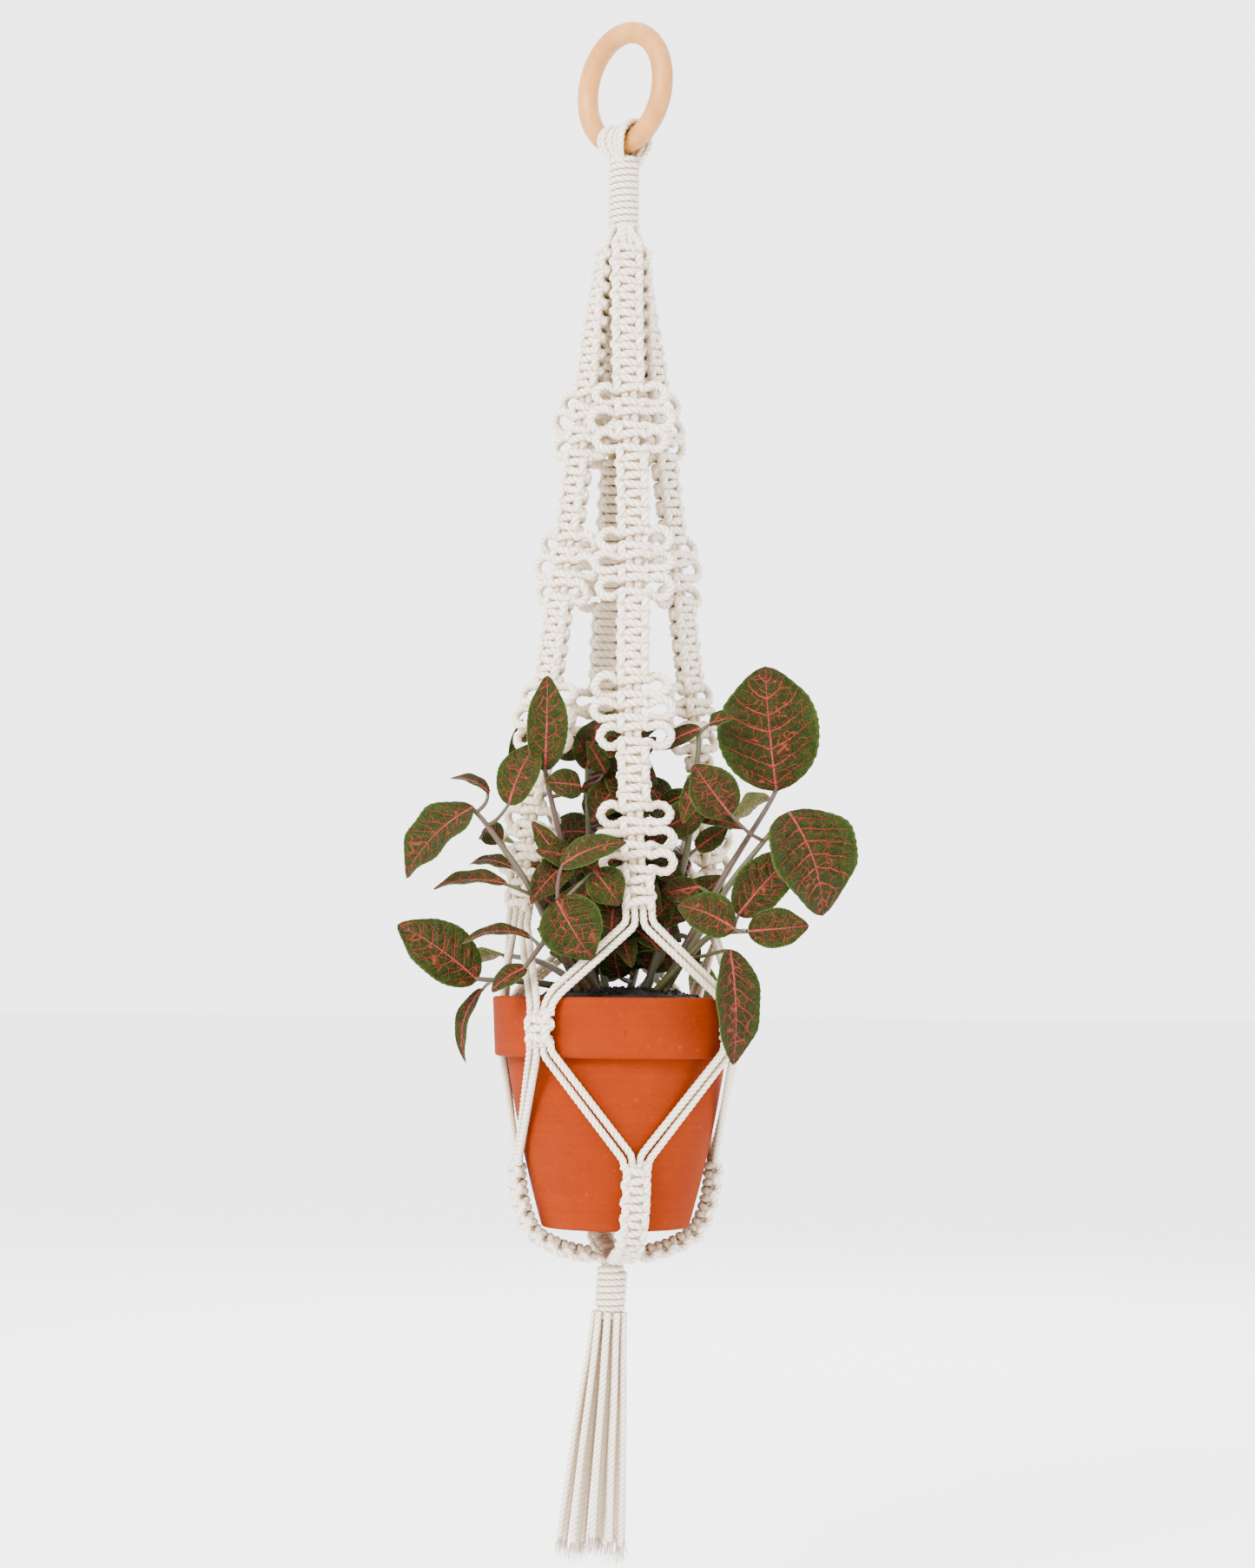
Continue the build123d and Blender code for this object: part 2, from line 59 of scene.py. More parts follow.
RING_OUTER_D = 68.6
RING_BAR_D = 11.0
RING_YAW = -59.0
LOOP_GAP = 0.4
LOOP_REACHES = (-8.9, -6.3, -3.8, -1.3, 1.3, 3.8, 6.3, 8.9)   # the loop's cords, across the bar

WRAP_CORD_D = 3.6
WRAP_R = 6.5                      # centre line of the coiled cord
WRAP_PITCH = 3.45
TOP_WRAP = (-60.4, -97.0)

ARM_NAMES = ("front", "right", "back", "left")
ARM_ANGLES = (-90.0, 0.0, 90.0, 180.0)
ARM_TURNS = (11.0, 50.0, 16.0, -38.0)     # the twist that each arm has taken up, in degrees
ARM_TOP = (7.0, -100.6)
ARM_END = (52.0, -454.3)
ARM_EDGE = 9.75
KNOT_CORD_R = 2.3                 # the soft cord swells a little between the knots' bends
PICOT_CLUSTERS = (100.0, 176.0, 254.0, 320.0)
PICOT_STEP = 12.2
PICOT_BEND_R = 3.6
PICOT_LEGS = (1.2, 3.2, 1.2)
HALF_KNOT = 4.45

RIM_TOP_Z = -498.7
KNOT_MID_R = 69.85
KNOT_TOP_Z = -507.2
KNOT_LOW_Z = -522.2
CORD_SLOTS = (2.1, 6.3)
ARM_SLOTS = (2.2, 6.6)
OVER_RIM_R = 67.5
OVER_RIM_TURN = 2.5
OVER_RIM_UP = (1.2, 3.2)
STRAP_TOP_Z = -585.4
STRAP_LINE = (
    (52.2, -583.4),
    (52.2, -592.0),
    (50.2, -606.0),
    (44.2, -622.2),
    (27.5, -630.8),
    (12.0, -633.6),
)
PIVOT = np.array((-1.0, 0.0, -636.0))
TASSEL_LEAN = 3.4
WRAP_DROP = 3.0
BOTTOM_WRAP_TURNS = 7
STRAND_DROP = WRAP_DROP + BOTTOM_WRAP_TURNS * WRAP_PITCH + 0.2
PLANT_TURN = -11.5
VEIN_PAIRS = 7.5                  # side veins along a leaf
VEIN_SWEEP = 0.2                  # how far forward they run, as a share of its length
VEIN_BEND = 1.25                  # above 1, they bend forward more towards the edge

# ---- Camera ---------------------------------------------------------------------------------
CAMERA_AZIMUTH = math.radians(-11.5)
CAMERA_AWAY = 1.7
CAMERA_HEIGHT = -0.4905
CAMERA_ROLL = math.radians(0.49)

camera_data = bpy.data.cameras.new("camera")
camera_data.lens = 74.55
camera_data.sensor_width = 36.0
camera_data.shift_x = 0.0066
camera_data.shift_y = 0.1257
camera_data.clip_start = 0.05
camera = bpy.data.objects.new("camera", camera_data)
bpy.context.scene.collection.objects.link(camera)
camera_place = Vector((CAMERA_AWAY * math.sin(CAMERA_AZIMUTH),
                       -CAMERA_AWAY * math.cos(CAMERA_AZIMUTH), CAMERA_HEIGHT))
turned = Matrix.Rotation(CAMERA_AZIMUTH, 4, "Z")
upright = Matrix.Rotation(math.radians(90), 4, "X")
camera.matrix_world = (Matrix.Translation(camera_place) @ turned @ upright
                       @ Matrix.Rotation(CAMERA_ROLL, 4, "Z"))
bpy.context.scene.camera = camera

# ---- Materials ------------------------------------------------------------------------------

class Shader:
    """A material's node tree, with short names for the nodes used most."""

    def __init__(self, name):
        self.material = bpy.data.materials.new(name)
        self.material.use_nodes = True
        self.nodes = self.material.node_tree.nodes
        self.links = self.material.node_tree.links
        self.surface = self.nodes["Principled BSDF"]

    def put(self, socket, value):
        if hasattr(value, "is_output"):
            self.links.new(value, socket)
        elif value is not None:
            socket.default_value = value

    def node(self, kind, inputs=(), **settings):
        made = self.nodes.new(kind)
        for key, value in settings.items():
            setattr(made, key, value)
        for key, value in dict(inputs).items():
            self.put(made.inputs[key], value)
        return made

    def math(self, operation, first, second=None, third=None, clamp=False):
        made = self.node("ShaderNodeMath", operation=operation, use_clamp=clamp)
        for index, value in enumerate((first, second, third)):
            self.put(made.inputs[index], value)
        return made.outputs[0]

    def mix(self, share, first, second):
        made = self.node("ShaderNodeMix", data_type="RGBA")
        self.put(made.inputs[0], share)
        self.put(made.inputs[6], first)
        self.put(made.inputs[7], second)
        return made.outputs[2]

    def ramp(self, value, *stops):
        made = self.node("ShaderNodeValToRGB", {"Fac": value})
        band = made.color_ramp
        while len(band.elements) < len(stops):
            band.elements.new(0.5)
        for element, (place, colour) in zip(band.elements, stops):
            element.position = place
            element.color = (*colour, 1.0)
        return made.outputs[0]

    def span(self, value, low, high, to_low=0.0, to_high=1.0):
        made = self.node("ShaderNodeMapRange", {"Value": value, "From Min": low, "From Max": high,
                                                "To Min": to_low, "To Max": to_high})
        return made.outputs[0]

    def ridge(self, distance, half_width, power=1.0):
        """1 on a line and 0 from half_width away. A power below 1 makes it blunter."""
        slope = self.math("SUBTRACT", 1.0, self.math("DIVIDE", distance, half_width), clamp=True)
        return self.math("POWER", slope, power)

    def cell_edges(self, vector, scale, randomness=1.0):
        """How far a place is from the edge of its cell, in a net of cells."""
        made = self.node("ShaderNodeTexVoronoi", {"Vector": vector, "Scale": scale,
                                                  "Randomness": randomness},
                         feature="DISTANCE_TO_EDGE")
        return made.outputs[0]

    def openness(self, distance):
        """How much of the sky a place sees past what is nearer than the distance."""
        made = self.node("ShaderNodeAmbientOcclusion", {"Distance": distance}, samples=8)
        return made.outputs["AO"]

    def noise(self, vector, scale, detail=3.0, roughness=0.55):
        made = self.node("ShaderNodeTexNoise", {"Vector": vector, "Scale": scale, "Detail": detail,
                                                "Roughness": roughness})
        return made.outputs[0]

    def place(self, vector, scale, turn=(0, 0, 0)):
        made = self.node("ShaderNodeMapping", {"Vector": vector, "Scale": scale, "Rotation": turn})
        return made.outputs[0]

    def bump(self, height, distance, strength=1.0, normal=None):
        made = self.node("ShaderNodeBump", {"Height": height, "Distance": distance,
                                            "Strength": strength})
        if normal is not None:
            self.put(made.inputs["Normal"], normal)
        return made.outputs[0]

    def attribute(self, name):
        return self.node("ShaderNodeAttribute", attribute_name=name).outputs["Fac"]

    def uv(self, name="UVMap"):
        return self.node("ShaderNodeUVMap", uv_map=name).outputs[0]

    def object_place(self):
        return self.node("ShaderNodeTexCoord").outputs["Object"]

    def finish(self, colour=None, roughness=None, normal=None, **others):
        self.put(self.surface.inputs["Base Color"], colour)
        self.put(self.surface.inputs["Roughness"], roughness)
        if normal is not None:
            self.put(self.surface.inputs["Normal"], normal)
        for name, value in others.items():
            self.put(self.surface.inputs[name.replace("_", " ")], value)
        return self.material

def cotton_material():
    """Unbleached cotton: cream, with darker threads, and painted brown shade in the ply grooves, where
    the cords hide each other and between the arms.
    """
    shader = Shader("cotton_cord")
    along = shader.uv()
    fibres = shader.noise(shader.place(along, (2.2, 26.0, 1.0)), 4.0, 4.0, 0.7)
    clumps = shader.noise(shader.place(along, (0.7, 2.0, 1.0)), 2.0, 2.0)
    cream = shader.mix(shader.span(clumps, 0.3, 0.7), (0.91, 0.85, 0.745, 1), (0.97, 0.93, 0.86, 1))
    threads = shader.mix(shader.span(fibres, 0.28, 0.6), (0.68, 0.58, 0.45, 1), cream)
    # Painted shade: the grooves between the plies are darkened towards brown.
    groove = shader.math("MULTIPLY", shader.attribute("groove"), 0.75)
    plies = shader.mix(groove, threads, (0.40, 0.30, 0.21, 1))
    # Painted shade: brown in the gaps where nearby cords and knots close in.
    cord_gap_shade = shader.span(shader.openness(0.006), 0.2, 0.85)
    cord_gaps_shaded = shader.mix(cord_gap_shade, (0.46, 0.31, 0.18, 1), plies)
    # Painted shade: warm brown in the deeper recesses, where the arms, pot and plant hide the sky.
    arm_gap_shade = shader.span(shader.openness(0.09), 0.3, 0.85, 0.9, 0.0)
    colour = shader.mix(arm_gap_shade, cord_gaps_shaded, (0.44, 0.32, 0.19, 1))
    return shader.finish(colour, 0.92, shader.bump(fibres, 0.0005, 0.75), Sheen_Weight=0.2,
                         Sheen_Roughness=0.6, Specular_IOR_Level=0.15)

def wood_material():
    """Pale varnished wood, with bands and fine grain along one direction."""
    shader = Shader("light_wood")
    place = shader.object_place()
    bands = shader.noise(shader.place(place, (90.0, 90.0, 26.0), (0.3, 0.2, 0.9)), 1.0, 2.0, 0.5)
    grain = shader.noise(shader.place(place, (900.0, 900.0, 130.0), (0.2, 0.1, 0.9)), 1.0, 5.0, 0.7)
    base = shader.ramp(bands, (0.25, (0.33, 0.115, 0.012)), (0.5, (0.41, 0.165, 0.022)),
                       (0.75, (0.48, 0.215, 0.036)))
    colour = shader.mix(shader.span(grain, 0.42, 0.75, 0.0, 0.45), base, (0.26, 0.11, 0.035, 1))
    roughness = shader.span(grain, 0.2, 0.8, 0.42, 0.6)
    return shader.finish(colour, roughness, shader.bump(grain, 0.0003, 0.5))

def terracotta_material():
    """Fired clay: clouded, with turning marks round the pot and light and dark specks."""
    shader = Shader("terracotta")
    place = shader.object_place()
    clouds = shader.noise(place, 28.0, 4.0, 0.6)
    grain = shader.noise(place, 900.0, 3.0, 0.7)
    specks = shader.noise(place, 420.0, 2.0, 0.5)
    marks = shader.noise(shader.place(place, (4.0, 4.0, 420.0)), 1.0, 3.0, 0.6)
    base = shader.ramp(clouds, (0.3, (0.138, 0.0134, 0.0002)), (0.55, (0.158, 0.0162, 0.0003)),
                       (0.8, (0.190, 0.0218, 0.0006)))
    marked = shader.mix(shader.span(marks, 0.35, 0.75, 0.0, 0.3), base, (0.116, 0.0098, 0.0001, 1))
    light = shader.mix(shader.span(specks, 0.66, 0.78, 0.0, 0.35), marked, (0.30, 0.050, 0.012, 1))
    colour = shader.mix(shader.span(specks, 0.34, 0.24, 0.0, 0.5), light, (0.08, 0.006, 0.001, 1))
    normal = shader.bump(marks, 0.0006, 0.45, shader.bump(grain, 0.0004, 0.55))
    return shader.finish(colour, shader.span(grain, 0.3, 0.7, 0.72, 0.9), normal,
                         Specular_IOR_Level=0.06)

def soil_material():
    """Damp potting soil, nearly black, with some lighter crumbs."""
    shader = Shader("soil")
    place = shader.object_place()
    lumps = shader.noise(place, 260.0, 4.0, 0.7)
    specks = shader.noise(place, 900.0, 2.0, 0.6)
    base = shader.ramp(lumps, (0.3, (0.003, 0.002, 0.0015)), (0.6, (0.010, 0.006, 0.004)),
                       (0.8, (0.024, 0.015, 0.009)))
    colour = shader.mix(shader.span(specks, 0.68, 0.74, 0.0, 0.7), base, (0.06, 0.04, 0.022, 1))
    return shader.finish(colour, 0.95, shader.bump(lumps, 0.0012, 0.8), Specular_IOR_Level=0.2)

def stem_material():
    """Streaked stems, from green to purplish brown by each stem's tint."""
    shader = Shader("stem")
    along = shader.uv()
    streaks = shader.noise(shader.place(along, (1.5, 14.0, 1.0)), 3.0, 3.0, 0.6)
    red = shader.mix(shader.span(streaks, 0.3, 0.7), (0.026, 0.0055, 0.004, 1),
                     (0.062, 0.017, 0.009, 1))
    green = shader.mix(shader.span(streaks, 0.3, 0.7), (0.020, 0.030, 0.003, 1),
                       (0.050, 0.060, 0.010, 1))
    colour = shader.mix(shader.attribute("tint"), green, red)
    return shader.finish(colour, 0.5, shader.bump(streaks, 0.0004, 0.6))

def leaf_veins(shader):
    """How much of the midrib, the side veins and the two nets a place on a leaf has."""
    on_blade = shader.node("ShaderNodeSeparateXYZ", {"Vector": shader.uv()})
    side = shader.math("ABSOLUTE", shader.math("MULTIPLY_ADD", on_blade.outputs[0], 2.0, -1.0))
    along = on_blade.outputs[1]
    real_uv = shader.uv("real")
    off_rib = shader.math("ABSOLUTE",
                          shader.node("ShaderNodeSeparateXYZ", {"Vector": real_uv}).outputs[0])
    midrib = shader.ridge(off_rib, shader.span(along, 0.0, 1.0, 0.085, 0.020), 0.5)
    wander = shader.math("MULTIPLY_ADD", shader.noise(real_uv, 2.2, 2.0, 0.5), 0.036, -0.018)
    swept = shader.math("MULTIPLY_ADD", shader.math("POWER", side, VEIN_BEND), -VEIN_SWEEP, wander)
    phase = shader.math("FRACT", shader.math("MULTIPLY", shader.math("ADD", along, swept), VEIN_PAIRS))
    off_vein = shader.math("ABSOLUTE", shader.math("SUBTRACT", phase, 0.5))
    vein = shader.ridge(off_vein, shader.span(side, 0.0, 1.0, 0.075, 0.028), 0.55)
    vein = shader.math("MULTIPLY", vein, shader.span(side, 0.72, 0.97, 1.0, 0.1))
    net = shader.ridge(shader.cell_edges(real_uv, 1.9, 0.85), 0.045, 0.6)
    net = shader.math("MULTIPLY", net, shader.span(side, 0.45, 0.9, 1.0, 0.05))
    fine_net = shader.ridge(shader.cell_edges(real_uv, 5.5), 0.13)
    return side, midrib, vein, net, fine_net

def leaf_material(name, under=False):
    """A leaf's green or brown face with coral veins, or its pale underside."""
    shader = Shader(name)
    side, midrib, vein, net, fine_net = leaf_veins(shader)
    spread = shader.span(shader.noise(shader.uv("real"), 1.6, 3.0, 0.6), 0.3, 0.7)
    if under:
        plain = shader.mix(spread, (0.045, 0.060, 0.012, 1), (0.085, 0.100, 0.028, 1))
        rib_colour = (0.24, 0.050, 0.035, 1)
        vein_colour = (0.17, 0.070, 0.030, 1)
        fine_colour = (0.110, 0.100, 0.035, 1)
    else:
        green = shader.mix(spread, (0.0050, 0.0108, 0.0001, 1), (0.0120, 0.0250, 0.0004, 1))
        brown = shader.mix(spread, (0.0095, 0.0045, 0.0006, 1), (0.0180, 0.0105, 0.0014, 1))
        greener_edge = shader.span(side, 0.5, 1.0, 0.0, 0.7)
        browned = shader.math("SUBTRACT", shader.attribute("tint"), greener_edge, clamp=True)
        plain = shader.mix(browned, green, brown)
        rib_colour = (0.30, 0.040, 0.036, 1)
        vein_colour = (0.25, 0.036, 0.024, 1)
        fine_colour = (0.024, 0.034, 0.001, 1)
    netted = shader.mix(shader.math("MULTIPLY", fine_net, 0.4), plain, fine_colour)
    webbed = shader.mix(shader.math("MULTIPLY", net, 0.52), netted, vein_colour)
    veined = shader.mix(shader.math("MULTIPLY", vein, 0.9), webbed, vein_colour)
    ribbed = shader.mix(midrib, veined, rib_colour)
    colour = shader.mix(shader.span(side, 0.92, 0.99, 0.0, 0.7), ribbed, (0.045, 0.070, 0.008, 1))
    # Every vein is sunk into the blade, and the blade is puckered a little all over.
    height = shader.math("MULTIPLY_ADD", fine_net, -0.3, shader.math("MULTIPLY", vein, -0.9))
    height = shader.math("MULTIPLY_ADD", net, -0.6, height)
    height = shader.math("MULTIPLY_ADD", midrib, -1.2, height)
    fine = shader.noise(shader.uv("real"), 26.0, 3.0, 0.6)
    normal = shader.bump(fine, 0.00025, 0.5, shader.bump(height, 0.0011, 0.95))
    roughness = 0.7 if under else shader.span(fine, 0.3, 0.7, 0.40, 0.56)
    return shader.finish(colour, roughness, normal, Specular_IOR_Level=0.10)

def plain_material(name, colour, roughness):
    shader = Shader(name)
    return shader.finish((*colour, 1.0), roughness)

COTTON = cotton_material()
LEAF = leaf_material("leaf")
LEAF_UNDER = leaf_material("leaf_under", under=True)
STEM = stem_material()
SOIL = soil_material()

# ---- Points and lines -----------------------------------------------------------------------

def unit(vector):
    return vector / np.linalg.norm(vector)

def polar(radius, angle, z):
    turn = math.radians(angle)
    return np.array((radius * math.cos(turn), radius * math.sin(turn), z))

def tangent(angle):
    return polar(1.0, angle + 90.0, 0.0)

def resample(line, step):
    """The same line with points at even steps."""
    line = np.asarray(line, float)
    runs = np.linalg.norm(np.diff(line, axis=0), axis=1)
    reached = np.concatenate(((0.0,), np.cumsum(runs)))
    count = max(2, int(round(reached[-1] / step)) + 1)
    wanted = np.linspace(0.0, reached[-1], count)
    return np.column_stack([np.interp(wanted, reached, line[:, axis]) for axis in range(3)])

def soften(line, width, step=RING_STEP):
    """A line through given points, rounded as a cord of that softness would lie."""
    dense = resample(line, FINE_STEP)
    half = int(3 * width / FINE_STEP)
    weights = np.exp(-0.5 * (np.arange(-half, half + 1) * FINE_STEP / width) ** 2)
    weights /= weights.sum()
    before = 2 * dense[0] - dense[1:half + 1][::-1]
    after = 2 * dense[-1] - dense[-half - 1:-1][::-1]
    if len(before) < half:
        return resample(dense, step)
    padded = np.vstack((before, dense, after))
    smooth = np.column_stack([np.convolve(padded[:, axis], weights, "valid") for axis in range(3)])
    return resample(smooth, step)

SEED_DIRECTION = (0.31, 0.17, 0.93)       # no cord starts along it

def section_frames(line):
    """A direction across the line at each point, which turns as little as it can."""
    along = np.gradient(line, axis=0)
    along /= np.linalg.norm(along, axis=1)[:, None]
    across = np.cross(along[0], SEED_DIRECTION)
    sides = np.empty_like(line)
    for index, direction in enumerate(along):
        across = across - direction * across.dot(direction)
        across /= math.sqrt(across.dot(across))
        sides[index] = across
    return sides, np.cross(along, sides)

# ---- Meshes ---------------------------------------------------------------------------------

def new_object(name, points, faces, material, body):
    """A smooth mesh that moves with a body. The points are in millimetres."""
    mesh = bpy.data.meshes.new(name)
    mesh.from_pydata((np.asarray(points) * MM).tolist(), [], faces)
    mesh.polygons.foreach_set("use_smooth", [True] * len(faces))
    for one in material if isinstance(material, tuple) else (material,):
        mesh.materials.append(one)
    made = bpy.data.objects.new(name, mesh)
    bpy.context.scene.collection.objects.link(made)
    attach(made, body)
    return made

def point_values(mesh, name, values):
    attribute = mesh.attributes.new(name, "FLOAT", "POINT")
    attribute.data.foreach_set("value", np.asarray(values, np.float32))

def loop_uvs(mesh, name, values):
    layer = mesh.uv_layers.new(name=name)
    layer.data.foreach_set("uv", np.asarray(values, np.float32).ravel())

PLY_DEPTH = 0.2                   # of the grooves between plies, as a share of the radius
PLY_SWELL = 1.04
PLY_SHARPNESS = 1.6
PLY_OFFSET = 1.3                  # between the plies of one cord and the next, in radians
UV_OFFSET = 0.37
UV_SCALE = 0.1                    # of a UV unit for each millimetre

def tubes(name, lines, radius, body, material=COTTON, sides=CORD_SIDES, plies=3, tints=None):
    """Cords or stems as one piece. A cord's plies stand out, and turn once in each lay.
    radius is one number, or a function of the share of the length."""
    all_points, faces, uvs, grooves, tint_values = [], [], [], [], []
    angles = np.arange(sides) * 2 * math.pi / sides
    first = 0
    for number, line in enumerate(lines):
        sideways, outwards = section_frames(line)
        runs = np.linalg.norm(np.diff(line, axis=0), axis=1)
        reached = np.concatenate(((0.0,), np.cumsum(runs)))
        share = reached / reached[-1]
        size = np.array([radius(one) for one in share]) if callable(radius) else radius
        groove = np.zeros((len(line), sides))
        sizes = np.broadcast_to(np.reshape(size, (-1, 1)), groove.shape)
        if plies:
            start = number * PLY_OFFSET
            turn = (angles[None, :] - 2 * math.pi * reached[:, None] / ROPE_LAY - start) * plies
            groove = (0.5 - 0.5 * np.cos(turn)) ** PLY_SHARPNESS
            sizes = sizes * (PLY_SWELL - PLY_DEPTH * groove)
        ring = (line[:, None, :] + sizes[..., None]
                * (np.cos(angles)[None, :, None] * sideways[:, None, :]
                   + np.sin(angles)[None, :, None] * outwards[:, None, :]))
        all_points.append(ring.reshape(-1, 3))
        grooves.append(groove.ravel())
        tint_values.append(np.full(len(line) * sides, 0.5 if tints is None else tints[number]))
        rows = np.arange(len(line) - 1)[:, None] * sides
        columns = np.arange(sides)[None, :]
        beside = (columns + 1) % sides
        quads = np.stack((rows + columns, rows + beside, rows + sides + beside,
                          rows + sides + columns), axis=-1).reshape(-1, 4) + first
        faces.extend(quads.tolist())
        low = np.broadcast_to((reached[:-1] * UV_SCALE)[:, None], (len(line) - 1, sides))
        high = np.broadcast_to((reached[1:] * UV_SCALE)[:, None], (len(line) - 1, sides))
        left = np.broadcast_to(columns / sides, low.shape) + number * UV_OFFSET
        right = left + 1 / sides
        quad_uvs = np.stack((low, left, low, right, high, right, high, left), axis=-1)
        uvs.append(quad_uvs.reshape(-1, 2))
        first += len(line) * sides
    # Flat caps close both ends of every line.
    cap_first = 0
    for line in lines:
        end = cap_first + (len(line) - 1) * sides
        faces.append(list(range(cap_first + sides - 1, cap_first - 1, -1)))
        faces.append(list(range(end, end + sides)))
        uvs.append(np.zeros((2 * sides, 2)))
        cap_first += len(line) * sides
    made = new_object(name, np.vstack(all_points), faces, material, body)
    loop_uvs(made.data, "UVMap", np.vstack(uvs))
    # The groove depth also drives the painted shade in the cotton's ply grooves.
    point_values(made.data, "groove", np.concatenate(grooves))
    point_values(made.data, "tint", np.concatenate(tint_values))
    return made

def cord_piece(name, lines, body, *replaced, radius=CORD_D / 2):
    """A piece of cotton cords that stands for one or more CAD nodes."""
    made = tubes(name, lines, radius, body)
    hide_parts(*replaced)

# ---- The tassel's free cords ----------------------------------------------------------------
lean = math.radians(TASSEL_LEAN)
tassel_down = np.array((-math.sin(lean), 0.0, -math.cos(lean)))
tassel_across = np.array((math.cos(lean), 0.0, -math.sin(lean)))
tassel_aside = np.cross(tassel_down, tassel_across)

def tassel_point(radius, angle, drop):
    x, y, z = polar(radius, angle, drop)
    return PIVOT + tassel_across * x + tassel_aside * y + tassel_down * z

# Each strand's route, as distance from the tassel's axis, angle round it and drop below the wrap.
STRANDS = (
    ((0.0, 0, 0), (0.3, 200, 15), (0.9, 170, 44), (0.8, 250, 82), (1.8, 210, 118)),
    ((3.9, 18, 0), (4.3, 19, 16), (5.6, 22, 45), (7.0, 18, 83), (8.4, 24, 121)),
    ((3.9, 90, 0), (4.2, 90, 14), (5.9, 87, 43), (7.2, 92, 80), (9.4, 90, 117)),
    ((3.9, 162, 0), (4.4, 163, 15), (6.3, 160, 44), (8.2, 165, 82), (9.6, 162, 120)),
    ((3.9, 234, 0), (4.3, 234, 16), (5.8, 238, 46), (7.6, 235, 84), (9.0, 240, 122)),
    ((3.9, 306, 0), (4.2, 306, 15), (5.6, 303, 43), (7.4, 308, 81), (8.8, 305, 119)),
    ((7.8, 0, 0), (8.3, 0, 15), (10.4, 2, 44), (12.6, 1, 81), (14.6, 4, 120)),
    ((7.8, 36, 0), (8.4, 36, 16), (10.8, 38, 46), (13.4, 37, 83), (15.2, 41, 121)),
    ((7.8, 72, 0), (8.2, 72, 14), (10.2, 70, 43), (12.2, 73, 81), (14.8, 71, 118)),
    ((7.8, 108, 0), (8.4, 108, 15), (10.9, 107, 45), (13.6, 109, 82), (15.6, 106, 116)),
    ((7.8, 144, 0), (8.5, 144, 16), (11.6, 143, 46), (14.8, 145, 83), (17.2, 142, 120)),
    ((7.8, 180, 0), (8.6, 180, 15), (12.0, 181, 44), (15.6, 179, 82), (18.2, 182, 119)),
    ((7.8, 216, 0), (8.5, 216, 16), (11.8, 217, 46), (15.0, 215, 84), (17.6, 219, 122)),
    ((7.8, 252, 0), (8.3, 252, 15), (11.0, 250, 44), (13.8, 253, 81), (16.0, 251, 117)),
    ((7.8, 288, 0), (8.4, 288, 14), (10.6, 290, 43), (13.0, 288, 81), (15.0, 291, 120)),
    ((7.8, 324, 0), (8.2, 324, 15), (10.4, 323, 45), (12.8, 326, 82), (14.6, 323, 118)),
)

def nurbs_line(route):
    """The points of the smooth line that a NURBS spline with that route makes, in metres."""
    data = bpy.data.curves.new("route", "CURVE")
    data.dimensions = "3D"
    data.resolution_u = 24
    spline = data.splines.new("NURBS")
    spline.points.add(len(route) - 1)
    for point, place in zip(spline.points, route):
        point.co = (*place, 1.0)
    spline.order_u = 3
    spline.use_endpoint_u = True
    carrier = bpy.data.objects.new("route", data)
    mesh = bpy.data.meshes.new_from_object(carrier)
    line = np.array([vertex.co for vertex in mesh.vertices])
    bpy.data.objects.remove(carrier)
    bpy.data.meshes.remove(mesh)
    return line

YARNS = 17
YARN_R = (0.42, 0.12)             # where a yarn leaves its strand, and at its tip
YARN_LENGTHS = (3.5, 10.5)
YARN_INSIDE = 4.0                 # the part of a yarn that is still inside its strand
YARN_TURN = 2.4                   # from one yarn to the next, in radians

def tassel():
    """The sixteen free strands, on their routes, and the yarns frayed from their ends."""
    fray_lines = []
    for number, rows in enumerate(STRANDS, start=1):
        route = [tassel_point(radius, angle, STRAND_DROP + drop) * MM
                 for radius, angle, drop in rows]
        line = nurbs_line(route)
        node = f"tassel_strand_{number:02d}"
        piece = tubes(f"strand_{number:02d}", [resample(line / MM, RING_STEP)], CORD_D / 2, "tassel")
        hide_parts(node)
        tuple(route[0])
        fray_lines.extend(frayed_end(line / MM))
    fray = tubes("tassel_fray", fray_lines,
                 lambda share: YARN_R[0] + (YARN_R[1] - YARN_R[0]) * share, "tassel", sides=4, plies=0)

def frayed_end(line):
    """Yarns that have come loose at the end of a strand."""
    end = line[-1]
    down = unit(line[-1] - line[-6])
    first_side = unit(np.cross(down, (0.2, 0.9, 0.1)))
    second_side = np.cross(down, first_side)
    made = []
    for number in range(YARNS):
        angle = number * YARN_TURN + random.uniform(-0.3, 0.3)
        reach = CORD_D / 2 * math.sqrt((number + 0.5) / YARNS) * 0.85
        out = (math.cos(angle) * first_side + math.sin(angle) * second_side) * reach
        curl = unit(random.normal(size=3))
        length = random.uniform(*YARN_LENGTHS)
        made.append(soften([end + out - down * YARN_INSIDE, end + out * 1.05,
                            end + out * 1.5 + down * length * 0.5 + curl * 0.5,
                            end + out * 2.0 + down * length + curl * 1.4], 1.0, 1.4))
    return made

